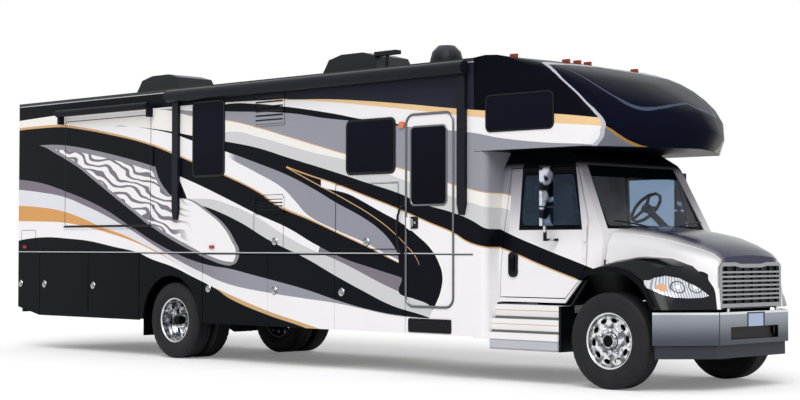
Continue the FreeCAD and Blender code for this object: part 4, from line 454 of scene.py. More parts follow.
class Shade:
    """Material with its shader, and each place on the surface as x, y and z."""

    def __init__(self, name):
        self.material = bpy.data.materials.new(name)
        self.material.use_nodes = True
        self.tree = self.material.node_tree
        self.shader = self.tree.nodes["Principled BSDF"]
        self.coords = self.add("ShaderNodeTexCoord")
        self.place = self.coords.outputs["Object"]
        self.x, self.y, self.z = split(self.place)

    def add(self, kind):
        return self.tree.nodes.new(kind)

    def breadth(self):
        """Distance from the middle plane."""
        return maths("ABSOLUTE", self.y)

    def under(self, edge):
        """1 below an edge along the side."""
        return below(self.z, curve(self.x, edge))

    def ahead_of(self, edge):
        """1 ahead of an edge that runs upright."""
        return above(self.x, curve(self.z, edge))

    def facing_up(self):
        """1 where the surface faces up, 0 where it is upright and -1 where it faces down."""
        return split(self.coords.outputs["Normal"])[2]

    def noise(self, scale, detail=3.0):
        node = self.add("ShaderNodeTexNoise")
        feed(self.place, node.inputs["Vector"])
        node.inputs["Scale"].default_value = scale
        node.inputs["Detail"].default_value = detail
        return node.outputs["Fac"]

    def bump(self, height, distance, strength):
        node = self.add("ShaderNodeBump")
        node.inputs["Distance"].default_value = distance
        node.inputs["Strength"].default_value = strength
        feed(height, node.inputs["Height"])
        feed(node.outputs[0], self.shader.inputs["Normal"])

    def varied(self, colour, share, scale):
        """The colour with a slow change of brightness over the surface."""
        node = self.add("ShaderNodeHueSaturation")
        feed(colour, node.inputs["Color"])
        feed(maths("MULTIPLY_ADD", self.noise(scale), share * 2, 1 - share), node.inputs["Value"])
        return node.outputs[0]

    def finish(self, colour, rough, vary=None, **fixed):
        """Colour, varied by a share at a scale; roughness with a spread and a grain; fixed values."""
        if vary:
            colour = self.varied(colour, *vary)
        feed(colour, self.shader.inputs["Base Color"])
        roughness, spread, grain = rough
        rough = maths("MULTIPLY_ADD", self.noise(grain), spread * 2, roughness - spread)
        feed(rough, self.shader.inputs["Roughness"])
        for name, value in fixed.items():
            self.shader.inputs[name.replace("_", " ")].default_value = value
        return self.material


def feather_pattern(shade):
    """Plain repeating leaf veins for the white swoosh, in thin grey strokes."""
    stretch = shade.add("ShaderNodeMapping")
    feed(shade.place, stretch.inputs["Vector"])
    stretch.inputs["Rotation"].default_value = vein_turn
    stretch.inputs["Scale"].default_value = vein_stretch
    node = shade.add("ShaderNodeTexWave")
    node.wave_type = "BANDS"
    node.bands_direction = "Z"
    feed(stretch.outputs[0], node.inputs["Vector"])
    for name, value in vein_wave.items():
        node.inputs[name].default_value = value
    return ramp(node.outputs["Fac"], *vein_fade)


def add_feather(shade, colour):
    """White swoosh with a grey border, closed by its round end, over the black side."""
    low = curve(shade.x, feather_low)
    high = curve(shade.x, feather_top)
    bowl = curve(shade.z, bowl_edge)
    region = both(below(shade.x, bowl), between(shade.z, low, high))
    colour = mixed(region, colour, feather_grey)
    inset = maths("SUBTRACT", high, feather_border)
    raised = maths("ADD", low, feather_low_border)
    shorter = below(shade.x, maths("SUBTRACT", bowl, feather_border))
    inside = mixed(feather_pattern(shade), white_paint, mauve_grey)
    inside = mixed(ramp(shade.x, *feather_fade), white_paint, inside)
    return mixed(both(shorter, between(shade.z, raised, inset)), colour, inside)


def side_colour(shade, upper):
    """Colours of the coach's side from its roof to its skirt, the same on both sides."""
    slanted = maths("SUBTRACT", shade.x, maths("MULTIPLY", shade.z, grey_slant))
    above_inner = mixed(above(slanted, grey_slant_x), white_paint, mauve_grey)
    swoosh = mixed(ramp(shade.x, *swoosh_fade), white_paint, silver_paint)
    to_front = ramp(shade.x, *rear_fade)
    mauve = mixed(to_front, mauve_grey, mid_grey)
    pale = mixed(to_front, pale_blue, white_paint)
    bands = ((front_tan_top, front_tan), (top_white_edge, white_paint), (sliver_edge, black_paint),
             (mid_grey_edge, mid_grey), (cream_edge, cream_paint), (grey_below_cream, light_grey),
             (blade_top, black_paint), (blade_low, swoosh), (swoosh_low, white_paint),
             (tan_line_edge, pinstripe_tan), (big_black_edge, black_paint), (feather_top, above_inner),
             (inner_grey_edge, light_grey), (low_black_edge, black_paint), (mauve_edge, mauve),
             (pale_edge, pale), (low_tan_edge, rear_tan), (low_white_edge, white_paint),
             (taupe_edge, pinstripe_tan), (skirt_edge, skirt_black))
    colour = add_feather(shade, painted(upper, *((shade.under(edge), over) for edge, over in bands)))
    front = above(shade.x, front_part_x)
    crescent = both(shade.under(blade_top), shade.ahead_of(crescent_inner), front)
    ahead = both(shade.under(front_white_edge), shade.ahead_of(crescent_edge), front)
    colour = painted(colour, (crescent, black_paint), (ahead, white_paint))
    for edge, half, span in pinstripes:
        line = close_to(shade.z, curve(shade.x, edge), half)
        colour = mixed(both(line, between(shade.x, *span)), colour, pinstripe_tan)
    return colour


def belt_colour(shade, colour):
    """Pale line over a dark one along the belt moulding."""
    on_coach = below(shade.x, coach_front_x)
    middle = (belt_low + belt_high) / 2
    quarter = (belt_high - belt_low) / 4
    for height, over in ((middle + quarter, pinstripe_silver), (middle - quarter, skirt_black)):
        colour = mixed(both(close_to(shade.z, height, quarter), on_coach), colour, over)
    return colour


def clear_coat(shade, colour, roughness, specular):
    """Paint whose brightness and gloss change faintly over the surface."""
    return shade.finish(colour, vary=(0.03, 0.6), rough=(roughness, 0.03, 9.0), Specular_IOR_Level=specular)


def side_paint():
    """Clear-coated paint of the walls, doors, slides and storage skirt, and of the cab."""
    shade = Shade("coach_paint")
    x, z = shade.x, shade.z
    breadth = shade.breadth()
    upper = mixed(ramp(x, *slate_fade), black_paint, slate_paint)
    colour = belt_colour(shade, side_colour(shade, upper))
    # painted shade: the cab's white darkens towards its top and turns black as painted shadow below the bunk
    on_cab = both(above(x, cab_paint_x), below(z, cab_top_z), above(z, curve(x, blade_top)))
    cab_shaded = mixed(ramp(z, *cab_upper_shade_fade), white_paint, cab_upper_shade)
    roof_shadow = both(ramp(z, *cab_shadow_fade), above(x, cab_back_x))
    leaned = maths("MULTIPLY_ADD", z, seal_lean, x)
    seal = both(above(x, seal_rear_x), below(leaned, seal_front_x), between(z, seal_low_z, cab_top_z))
    in_handle = both(between(x, *handle_x), between(z, *handle_z), above(breadth, handle_side))
    behind_wheel = both(shade.ahead_of(arch_edge), below(z, arch_top_z))
    firewall = both(above(x, firewall_x), below(z, firewall_z), below(breadth, firewall_side))
    black = ((mask, skirt_black) for mask in (seal, in_handle, behind_wheel, firewall))
    colour = painted(colour, (above(breadth, topper_side), awning_slate), (on_cab, cab_shaded),
                     (roof_shadow, black_paint), *black)
    return clear_coat(shade, colour, 0.3, 0.05)


def cap_paint():
    """Navy moulding of the overcab cap: the side's bands behind its seam, a gold line and grey below."""
    shade = Shade("cap_gelcoat")
    breadth = shade.breadth()
    seam = curve(shade.z, seam_edge)
    low = curve(breadth, cap_low_edge)
    along = maths("DIVIDE", maths("SUBTRACT", shade.x, crease_middle_x), crease_length)
    across = maths("DIVIDE", breadth, crease_breadth)
    reach = maths("ADD", maths("POWER", along, crease_power), maths("POWER", across, crease_power))
    # painted highlight: a lighter line along the crease round the cap's top
    crease_highlight_line = both(above(shade.z, crease_low_z), close_to(reach, 1.0, crease_half))
    front = painted(cap_under, (above(shade.z, low), cap_navy),
                    (close_to(shade.z, low, cap_line_half), gold_line), (crease_highlight_line, crease_highlight))
    # painted shade: black on the cap's underside below cap_under_z
    colour = painted(side_colour(shade, black_paint), (above(shade.x, seam), front),
                     (close_to(shade.x, seam, cap_seam_half), pinstripe_silver),
                     (below(shade.z, cap_under_z), skirt_black))
    return clear_coat(shade, colour, 0.3, 0.012)


def hood_paint():
    """Bonnet dark along its middle and silver, partly painted reflection, at its sides, with black fenders
    under a pinstripe.
    """
    shade = Shade("bonnet_paint")
    breadth = shade.breadth()
    half = curve(shade.x, bonnet_half)
    share = maths("DIVIDE", breadth, half)
    ahead = maths("SUBTRACT", shade.x, bonnet_lean_x)
    lean = maths("MULTIPLY_ADD", ahead, bonnet_lean, share)
    low_edge = both(ramp(shade.z, *bonnet_low_fade), ramp(share, *bonnet_edge_fade))
    line = both(close_to(breadth, half, bonnet_line_half), above(shade.z, bonnet_line_z),
                between(shade.x, *bonnet_line_x))
    in_arch = both(below(shade.x, hood_arch_x), below(shade.z, hood_arch_z))
    # painted light: the silver at the sides is partly painted reflection, the white ridge line a painted
    # highlight
    colour = painted(hood_navy, (ramp(lean, *bonnet_fade), hood_silver_and_sheen),
                     (close_to(share, ridge_share, ridge_half), white_paint), (low_edge, white_paint),
                     (above(breadth, half), skirt_black), (line, pinstripe_tan), (in_arch, skirt_black))
    return clear_coat(shade, colour, 0.2, 0.25)


def add_grain(shade):
    """Fine grain of moulded plastic."""
    shade.bump(shade.noise(scale=220.0, detail=2.0), distance=0.0006, strength=0.5)


def plastic(name, colour, roughness, specular=0.2):
    shade = Shade(name)
    add_grain(shade)
    return shade.finish(colour, vary=(0.08, 5.0), rough=(roughness, 0.05, 30.0), Specular_IOR_Level=specular)


def metal(name, colour, roughness, dark=0.45):
    """Metal with painted shade and painted reflection: darker where its surface faces down or sideways."""
    shade = Shade(name)
    shade.bump(shade.noise(scale=26.0, detail=4.0), distance=0.0008, strength=0.25)
    dull = tuple(value * dark for value in colour)
    # painted shade and reflection: the colour darkens to a share of itself where the surface faces down or
    # sideways
    shaded_below = mixed(ramp(shade.facing_up(), low=-0.5, high=0.6), dull, colour)
    return shade.finish(shaded_below, vary=(0.05, 4.0), rough=(roughness, 0.05, 26.0), Metallic=1.0)


def wheel_metal():
    """Polished wheel: disc streaked with painted reflection, painted highlight on the lip, painted shadow
    rings by the lip and the hub, dark barrel.
    """
    shade = Shade("polished_wheel")
    in_front = above(shade.x, 0.0)
    axle = maths("MULTIPLY_ADD", in_front, front_axle_x - rear_axle_x, rear_axle_x)
    radius = distance(shade.x, axle, shade.z, axle_z)
    # painted reflection: dull and bright streaks over the disc, a painted highlight on the lip and painted
    # shadow rings
    reflection_streaks = ramp(shade.noise(scale=15.0, detail=2.0), low=0.4, high=0.6)
    barrel = maths("MULTIPLY_ADD", in_front, barrel_step_y, barrel_rear_y)
    colour = painted(disc_reflection_dark, (reflection_streaks, disc_reflection_bright), (above(radius, lip_radius), lip_highlight),
                     (close_to(radius, *lip_ring), lip_shadow), (close_to(radius, *hub_ring), hub_shadow),
                     (below(shade.breadth(), barrel), barrel_dark))
    return shade.finish(colour, rough=(0.14, 0.05, 24.0), Metallic=0.9)


def mirror_metal():
    """Chrome shells with painted reflection: the dark and bright bands a bright sky and the ground give them.
    """
    shade = Shade("mirror_chrome")
    pitch = 24.0
    wander = 9.0
    wandering = maths("MULTIPLY_ADD", shade.noise(scale=6.0, detail=1.0), wander,
                      maths("MULTIPLY", shade.z, pitch))
    # painted reflection: wavy dark and bright bands along the height
    bands = ramp(maths("SINE", wandering), low=-0.1, high=0.9)
    colour = mixed(bands, mirror_dark, mirror_highlight)
    return shade.finish(colour, rough=(0.12, 0.03, 20.0), Metallic=0.9)


def shroud_plastic():
    """Dark roof shrouds with a painted highlight on their tops, and the pale vent lid between them."""
    shade = Shade("roof_shroud")
    add_grain(shade)
    # painted highlight: lighter where the surface faces up
    colour = painted(shroud_dark, (ramp(shade.facing_up(), low=0.2, high=0.9), shroud_top_highlight),
                     (close_to(shade.x, *roof_lid_place), lid_white))
    return shade.finish(colour, vary=(0.06, 5.0), rough=(0.4, 0.05, 30.0), Specular_IOR_Level=0.15)


def dark_glass():
    """Tinted glass that reads nearly black, a little bluer towards its top."""
    shade = Shade("window_glass")
    tinted = mixed(ramp(shade.z, *window_fade), window_dark, window_blue)
    return shade.finish(tinted, vary=(0.1, 1.2), rough=(0.06, 0.02, 4.0), Specular_IOR_Level=0.05)


def clear_glass(name, tint, side, low, high):
    """See-through glass with a black border beyond a breadth, and below and above two heights."""
    shade = Shade(name)
    inside = both(below(shade.breadth(), side), between(shade.z, low, high))
    colour = mixed(inside, skirt_black, shade.varied(tint, share=0.08, scale=1.5))
    clearness = 0.95
    feed(maths("MULTIPLY", inside, clearness), shade.shader.inputs["Transmission Weight"])
    return shade.finish(colour, rough=(0.04, 0.015, 4.0), IOR=1.1)


def bumper_metal():
    """Polished steel with a painted highlight along its top edge, painted shade below and in its slot, and a
    blank plate.
    """
    shade = Shade("polished_bumper")
    slot_shade = both(below(shade.x, plate_depth), close_to(shade.y, *bumper_slot_y),
                   close_to(shade.z, *bumper_slot_z))
    # painted shade on the lower bumper and the slot's walls, painted highlight along the top edge
    colour = painted(bumper_lower_shade, (ramp(shade.z, *bumper_shade_fade), bumper_grey),
                     (above(shade.z, bumper_edge_z), bumper_top_highlight),
                     (close_to(shade.breadth(), *bumper_seam_place), bumper_seam), (slot_shade, skirt_black))
    on_face = above(shade.x, plate_depth)
    for half, over in ((plate_half + plate_border, plate_edge), (plate_half, plate_blue)):
        across = close_to(shade.y, plate_middle_y, half)
        upward = close_to(shade.z, plate_middle_z, half * plate_shape)
        colour = mixed(both(across, upward, on_face), colour, over)
    return shade.finish(colour, vary=(0.05, 3.0), rough=(0.2, 0.05, 20.0), Metallic=0.75)


def porch_lens():
    """Moulded amber lens with fine upright ribs."""
    shade = Shade("amber_lens")
    ribs = waves(maths("ADD", shade.y, shade.x), pitch=420.0)
    shade.bump(ribs, distance=0.0012, strength=0.6)
    return shade.finish(porch_amber, vary=(0.15, 20.0), rough=(0.12, 0.03, 20.0), Coat_Weight=1.0)


def lamps_paint():
    """Red behind, amber ahead and on the cap, with fine level ribs."""
    shade = Shade("marker_lenses")
    shade.bump(waves(shade.z, pitch=600.0), distance=0.001, strength=0.5)
    colour = mixed(above(shade.x, amber_lamps_x), tail_red, marker_amber)
    return shade.finish(colour, vary=(0.15, 20.0), rough=(0.2, 0.03, 20.0), Specular_IOR_Level=0.3)


def headlamp_paint():
    """Clear lamp: reflectors with fine steps in painted light and shade, round bowls and an amber part at the
    outer side.
    """
    shade = Shade("headlamp_glass")
    breadth = shade.breadth()
    steps = waves(breadth, pitch=260.0)
    shade.bump(steps, distance=0.002, strength=0.5)
    # painted light: each reflector step gets a shaded side and a glinting side
    colour = mixed(ramp(steps, low=-1.0, high=1.0), reflector_shade, reflector_glint)
    for middle in bowl_middles:
        away = distance(breadth, middle, shade.z, bowl_z)
        colour = mixed(close_to(away, *bowl_ring), colour, bowl_rim)
        colour = mixed(below(away, bulb_radius), colour, bulb_white)
    amber = ramp(distance(breadth, amber_middle, shade.z, amber_z), *amber_fade)
    colour = mixed(amber, colour, turn_amber)
    return shade.finish(colour, rough=(0.1, 0.03, 14.0), Metallic=0.35, Coat_Weight=1.0)


def step_paint():
    """White cab steps with shadows below their treads and thin tan lines."""
    shade = Shade("step_paint")
    lines = ((close_to(shade.z, height, half), over) for height, half, over in step_lines)
    colour = painted(white_paint, (below(shade.z, step_silver_z), step_silver), *lines,
                     (above(shade.x, step_arch_x), skirt_black))
    return shade.finish(colour, vary=(0.05, 1.5), rough=(0.3, 0.05, 12.0), Specular_IOR_Level=0.2)


def roof_paint():
    """Pale membrane with a dark edge moulding and a thin bright bead."""
    shade = Shade("roof_membrane")
    edge = above(shade.breadth(), roof_edge_y)
    bead = both(edge, close_to(shade.z, *roof_bead_place))
    colour = painted(membrane_grey, (edge, black_paint), (bead, pinstripe_silver))
    shade.bump(shade.noise(scale=60.0), distance=0.001, strength=0.4)
    return shade.finish(colour, vary=(0.06, 2.0), rough=(0.45, 0.08, 14.0))


def rubber():
    """Tyre rubber, mottled in two dark greys."""
    shade = Shade("rubber")
    shade.bump(shade.noise(scale=90.0, detail=4.0), distance=0.0012, strength=0.5)
    colour = mixed(shade.noise(scale=5.0), rubber_dark, rubber_grey)
    return shade.finish(colour, rough=(0.62, 0.08, 40.0), Specular_IOR_Level=0.2)


def floor_material():
    """White floor that the camera sees a little lifted."""
    shade = Shade("studio_floor")
    path = shade.add("ShaderNodeLightPath")
    lift = maths("MULTIPLY", path.outputs["Is Camera Ray"], floor_lift)
    feed(lift, shade.shader.inputs["Emission Strength"])
    shade.shader.inputs["Emission Color"].default_value = (1, 1, 1, 1)
    return shade.finish(floor_white, vary=(0.004, 0.4), rough=(0.9, 0.02, 2.0), Specular_IOR_Level=0.1)


materials = {
    "coach": side_paint(), "cap": cap_paint(), "bonnet": hood_paint(), "roof": roof_paint(),
    "window": dark_glass(),
    "clear": clear_glass("windscreen_glass", glass_tint, side=0.83, low=1.715, high=2.25),
    "door_glass": clear_glass("door_glass", door_glass_tint, side=1.2, low=1.72, high=2.27),
    "trim": plastic("black_plastic", trim_black, 0.38), "shroud": shroud_plastic(),
    "awning": plastic("awning_vinyl", awning_slate, 0.3, 0.12), "markers": lamps_paint(),
    "flare": plastic("fender_plastic", fender_black, 0.55, 0.08), "amber": porch_lens(),
    "steel": metal("dark_steel", steel_grey, 0.4), "bumper": bumper_metal(),
    "dam": plastic("air_dam", dam_grey, 0.5), "chrome": metal("chrome", chrome_bright, 0.1, 0.35),
    "satin": metal("satin_trim", satin_grey, 0.32), "headlamp": headlamp_paint(), "steps": step_paint(),
    "interior": plastic("cab_plastic", cab_grey, 0.6), "frame": metal("chassis_paint", chassis_black, 0.55),
    "rubber": rubber(), "polished": wheel_metal(), "mirror": mirror_metal()}


def placed(name, data, finish, body):
    """Piece with one material that rides on a body."""
    piece = bpy.data.objects.new(name, data)
    data.materials.clear()
    data.materials.append(materials[finish])
    scene.collection.objects.link(piece)
    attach(piece, body)
    return piece


def finished(name, mesh, finish, body, smooth_angle, nodes=()):
    """Piece from a bmesh, smooth but for its sharp edges, that may stand for CAD nodes."""
    data = bpy.data.meshes.new(name)
    bmesh.ops.recalc_face_normals(mesh, faces=mesh.faces)
    mesh.to_mesh(data)
    mesh.free()
    for face in data.polygons:
        face.use_smooth = True
    data.set_sharp_from_angle(angle=math.radians(smooth_angle))
    piece = placed(name, data, finish, body)
    if nodes:
        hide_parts(*nodes)


def around(centre, radius, angle, across=0.0):
    """Place on a circle in side view, moved across the coach."""
    return Vector((centre.x + radius * math.cos(angle), centre.y + across,
                   centre.z + radius * math.sin(angle)))


def bridge(mesh, rings):
    """Faces from each ring of corners to the next, and from the last to the first."""
    for here, there in zip(rings, rings[1:] + rings[:1]):
        for index in range(len(here)):
            follow = (index + 1) % len(here)
            mesh.faces.new((here[index], here[follow], there[follow], there[index]))


def lathe(mesh, profile, centre, outward, steps, grooved=()):
    """Ring of a profile of (radius, offset outwards) round a line along y; grooves cut some rows."""
    rings = []
    for step in range(steps):
        ring = []
        for row, (radius, offset) in enumerate(profile):
            if row in grooved and step % groove_pitch == 0:
                radius -= groove_depth
            ring.append(mesh.verts.new(around(centre, radius, math.tau * step / steps, outward * offset)))
        rings.append(ring)
    bridge(mesh, rings)


def moved(profile, outwards):
    return [(radius, offset + outwards) for radius, offset in profile]


def solid(mesh, near, far):
    """Closed solid between two outlines with as many corners."""
    near = [mesh.verts.new(place) for place in near]
    far = [mesh.verts.new(place) for place in far]
    mesh.faces.new(near)
    mesh.faces.new(list(reversed(far)))
    for index in range(len(near)):
        follow = (index + 1) % len(near)
        mesh.faces.new((near[index], far[index], far[follow], near[follow]))


def prism(mesh, outline, y0, y1):
    """Solid of a side outline between two distances across."""
    solid(mesh, [(x, y0, z) for x, z in outline], [(x, y1, z) for x, z in outline])


def prism_along(mesh, section, x0, x1):
    """Solid of a section across the coach between two places along it."""
    solid(mesh, [(x0, y, z) for y, z in section], [(x1, y, z) for y, z in section])


def slab(mesh, along, across, upward):
    """Box from and to along, across and up."""
    section = [(across[0], upward[0]), (across[1], upward[0]), (across[1], upward[1]), (across[0], upward[1])]
    prism_along(mesh, section, *along)


def grown(span, reach):
    return span[0] - reach, span[1] + reach


def rounded_loop(along, upward, radius, steps=6):
    """Corners of a rounded rectangle in side view."""
    (x0, x1), (z0, z1) = grown(along, -radius), grown(upward, -radius)
    loop = []
    for quarter, (x, z) in enumerate(((x1, z1), (x0, z1), (x0, z0), (x1, z0))):
        for step in range(steps + 1):
            angle = math.pi / 2 * (quarter + step / steps)
            loop.append((x + radius * math.cos(angle), z + radius * math.sin(angle)))
    return loop


def shifted(outer, inner, share):
    return [(a[0] + (b[0] - a[0]) * share, a[1] + (b[1] - a[1]) * share) for a, b in zip(outer, inner)]


def frame_ring(mesh, outer, inner, y0, y1):
    """Flat frame between two loops of equal length, from y0 out to y1, with softened outer edges."""
    bevel = 0.18
    soft = y1 - (y1 - y0) * 0.35
    rows = ((outer, y0), (outer, soft), (shifted(outer, inner, bevel), y1),
            (shifted(outer, inner, 1 - bevel), y1), (inner, soft), (inner, y0))
    bridge(mesh, [[mesh.verts.new((x, y, z)) for x, z in loop] for loop, y in rows])


def tube(name, points, radius, finish, body):
    """Round bar that follows points, closed at both ends."""
    bar = bpy.data.curves.new(name, "CURVE")
    bar.dimensions = "3D"
    bar.bevel_depth = radius
    bar.bevel_resolution = 3
    bar.use_fill_caps = True
    line = bar.splines.new("POLY")
    line.points.add(len(points) - 1)
    for spot, place in zip(line.points, points):
        spot.co = (*place, 1.0)
    source = bpy.data.objects.new(name, bar)
    scene.collection.objects.link(source)
    bpy.context.view_layer.update()
    data = bpy.data.meshes.new_from_object(source.evaluated_get(bpy.context.evaluated_depsgraph_get()))
    bpy.data.objects.remove(source)
    placed(name, data, finish, body)


# Tyre: half of its outline as radius and distance outwards, with rows that grooves cut at the shoulders
half_tyre = ((0.296, -0.112), (0.318, -0.121), (0.345, -0.129), (0.352, -0.127), (0.359, -0.131),
             (0.400, -0.1365), (0.420, -0.1362), (0.424, -0.1335), (0.429, -0.1355), (0.455, -0.131),
             (0.472, -0.125), (0.488, -0.119), (0.498, -0.112), (0.5045, -0.100), (0.5045, -0.062),
             (0.4925, -0.060), (0.4925, -0.052), (0.5045, -0.050), (0.5045, -0.006), (0.4925, -0.004))
tyre_outline = half_tyre + tuple((radius, -offset) for radius, offset in reversed(half_tyre))
shoulder_rows = (11, 12, 27, 28)
groove_pitch = 3
groove_depth = 0.007

# Wheel disc and its oval hand holes
wheel_steps = 120
disc_inner = 0.07
disc_outer = 0.276
disc_thickness = 0.016
hole_count = 10
hole_cells = 4
hole_rows = (0.176, 0.192, 0.208, 0.228, 0.244, 0.262)
hole_middle = 0.218
hole_half_along = 0.041
hole_half_out = 0.026

# Rim: radius and distance outwards, from the wheel's middle, the disc's face or the hub's end
rim_lip = ((0.2895, 0.100), (0.2935, 0.108), (0.2945, 0.116), (0.289, 0.117), (0.281, 0.112),
           (0.276, 0.104), (0.2755, 0.0))
disc_weld = ((0.276, -0.03), (0.2765, 0.004), (0.268, 0.004), (0.262, 0.0), (0.262, -disc_thickness))
hub_foot = ((0.061, -0.03), (0.088, -0.03), (0.09, 0.004), (0.084, 0.012))
hub_end = ((0.083, -0.02), (0.074, -0.004), (0.061, -0.002))
hub_cap = ((0.0, -0.03), (0.062, -0.03), (0.0615, -0.006), (0.05, -0.001), (0.0, -0.001))
hub_steps = 60
cap_steps = 48

# Nuts: radius of their circle, own radius, length, count and how far they stand off
wheel_nuts = (0.1425, 0.0155, 0.03, 10)
hub_bolts = (0.07, 0.006, 0.008, 8)
nut_lift = 0.001
bolt_sink = 0.004
nut_sides = 6
nut_bore = 0.001

# Wheels: distance of the tyres from the middle, then disc face, hub length and barrel end, outwards
front_tyres = (1.05,)
rear_tyres = (1.083, 0.761)
front_disc = (0.088, 0.045, -0.117)
rear_disc = (-0.088, 0.07, -0.439)
axles = (("front", front_axle_x, front_tyres, front_disc), ("rear", rear_axle_x, rear_tyres, rear_disc))
both_sides = (("right", -1), ("left", 1))


def add_disc(mesh, centre, outward, face):
    """Wheel disc with oval hand holes: a polar sheet with holes, then its second side and edges."""
    radii = (disc_inner, *hole_rows, disc_outer)
    sheet = bmesh.new()
    grid = []
    for step in range(wheel_steps):
        angle = math.tau * step / wheel_steps
        grid.append([sheet.verts.new(around(centre, radius, angle, outward * face)) for radius in radii])
    period = wheel_steps // hole_count
    for step in range(wheel_steps):
        here, there = grid[step], grid[(step + 1) % wheel_steps]
        for row in range(len(radii) - 1):
            if step % period < hole_cells and 1 <= row <= hole_cells:
                continue
            sheet.faces.new((here[row], here[row + 1], there[row + 1], there[row]))
    for hole in range(hole_count):
        first = hole * period
        angle = math.tau * (first + hole_cells / 2) / wheel_steps
        middle = around(centre, hole_middle, angle, outward * face)
        out = Vector((math.cos(angle), 0, math.sin(angle)))
        along = Vector((-math.sin(angle), 0, math.cos(angle)))
        for step in range(hole_cells + 1):
            for row in range(hole_cells + 1):
                if 0 < step < hole_cells and 0 < row < hole_cells:
                    continue
                turn = math.atan2(row / hole_cells * 2 - 1, step / hole_cells * 2 - 1)
                spot = grid[(first + step) % wheel_steps][1 + row]
                sideways = along * hole_half_along * math.cos(turn)
                spot.co = middle + sideways + out * hole_half_out * math.sin(turn)
    bmesh.ops.delete(sheet, geom=[v for v in sheet.verts if not v.link_faces], context="VERTS")
    made = bmesh.ops.extrude_face_region(sheet, geom=list(sheet.faces))
    backs = [item for item in made["geom"] if isinstance(item, bmesh.types.BMVert)]
    bmesh.ops.translate(sheet, verts=backs, vec=(0, -outward * disc_thickness, 0))
    bmesh.ops.recalc_face_normals(sheet, faces=sheet.faces)
    part = bpy.data.meshes.new("disc")
    sheet.to_mesh(part)
    sheet.free()
    mesh.from_mesh(part)
    bpy.data.meshes.remove(part)


def add_nuts(mesh, centre, outward, face, circle, radius, length, count):
    """Hexagonal wheel nuts with chamfered ends on a circle."""
    profile = ((nut_bore, 0.0), (radius, 0.0), (radius, length * 0.75), (radius * 0.8, length),
               (nut_bore, length))
    for nut in range(count):
        middle = around(centre, circle, math.tau * (nut + 0.5) / count)
        lathe(mesh, moved(profile, face), middle, outward, nut_sides)


def add_rim(wheel, centre, outward, face, hub, barrel_end):
    mesh = bmesh.new()
    end = face + hub
    barrel = ((rim_lip[0][0], barrel_end), *rim_lip, (rim_lip[-1][0], barrel_end))
    lathe(mesh, barrel, centre, outward, wheel_steps)
    add_disc(mesh, centre, outward, face)
    lathe(mesh, moved(disc_weld, face), centre, outward, wheel_steps)
    lathe(mesh, moved(hub_foot, face) + moved(hub_end, end), centre, outward, hub_steps)
    lathe(mesh, moved(hub_cap, end), centre, outward, cap_steps)
    add_nuts(mesh, centre, outward, face + nut_lift, *wheel_nuts)
    add_nuts(mesh, centre, outward, end - bolt_sink, *hub_bolts)
    finished("dressed_rim_" + wheel, mesh, "polished", "wheel_" + wheel, 35, ("rim_" + wheel,))


def add_wheels():
    for side, outward in both_sides:
        for axle, x, tyres, _ in axles:
            wheel = axle + "_" + side
            mesh = bmesh.new()
            for y in tyres:
                middle = Vector((x, outward * y, axle_z))
                lathe(mesh, tyre_outline, middle, outward, wheel_steps, shoulder_rows)
            finished("dressed_tyre_" + wheel, mesh, "rubber", "wheel_" + wheel, 32, ("tyre_" + wheel,))
        for axle, x, tyres, disc in axles:
            add_rim(axle + "_" + side, Vector((x, outward * tyres[0], axle_z)), outward, *disc)


# Frames and seams round openings: name, along, height, corner radius, width, from and to outside the
# wall's face, finish, body and sides
frame_depth = (0.0, 0.012)
seam_depth = (-0.003, 0.003)
frames = (
    ("dinette_window_frame", (1.150, 1.920), (2.365, 2.965), 0.05, 0.03, frame_depth, "trim", "root", (-1,)),
    ("tall_window_frame", (-1.76, -1.16), (2.415, 3.365), 0.05, 0.03, frame_depth, "trim", "root", (-1,)),
    ("rear_window_frame_left", (-4.33, -3.73), (2.415, 3.015), 0.05, 0.03, frame_depth, "trim", "root", (1,)),
    ("bunk_window_frames", (3.36, 4.29), (2.765, 3.14), 0.05, 0.022, (-0.004, 0.01), "trim", "root", (-1, 1)),
    ("slide_window_frame", (-0.68, 0.49), (2.277, 2.847), 0.05, 0.028, (0.014, 0.022), "trim", "slide_left",
     (1,)),
    ("entry_door_frame", (2.135, 2.845), (0.815, 2.99), 0.1, 0.028, (0.0, 0.014), "satin", "root", (-1,)),
    ("entry_window_frame", (2.205, 2.745), (1.97, 2.85), 0.05, 0.022, (0.0, 0.01), "satin", "entry_door",
     (-1,)),
    ("hatch_seam", (0.945, 1.985), (1.462, 2.222), 0.02, 0.006, seam_depth, "trim", "root", (-1,)),
    ("access_door_seam", (-5.78, -5.42), (1.50, 1.72), 0.02, 0.006, seam_depth, "trim", "root", (-1,)),
    ("furnace_door_seam", (-0.555, -0.005), (1.425, 2.13), 0.02, 0.006, seam_depth, "trim", "root", (-1,)),
    ("locker_door_seam", (0.94, 1.47), (1.425, 1.45), 0.01, 0.005, seam_depth, "trim", "root", (-1,)))
slide_joint = ("slide_joint", slide_x, slide_z, 0.03, 0.012, (0.008, 0.016), "trim", "slide_right", (-1,))
frame_smooth = 40

# Sill below the right slide room: past its ends, from and to below it, and across
sill_reach = 0.03
sill_z = (slide_z[0] - 0.03, slide_z[0] - 0.005)
sill_y = (-half_width - 0.022, -half_width - 0.01)

# Slatted vents: name, along, height, number of slats and finish
vents = (("refrigerator_vent", (-0.545, 0.015), (3.0, 3.44), 7, "coach"),
         ("lower_vent", (-0.545, 0.015), (1.89, 2.1), 4, "coach"),
         ("step_louvre", (2.16, 2.83), (0.505, 0.665), 5, "trim"))
vent_rim = 0.02
vent_inner_radius = 0.012
vent_y = (-half_width + 0.002, -half_width - 0.013)
slat_inset = 0.018
louvre_back = ((2.17, 2.82), (-half_width - 0.002, -half_width + 0.002), (0.515, 0.655))

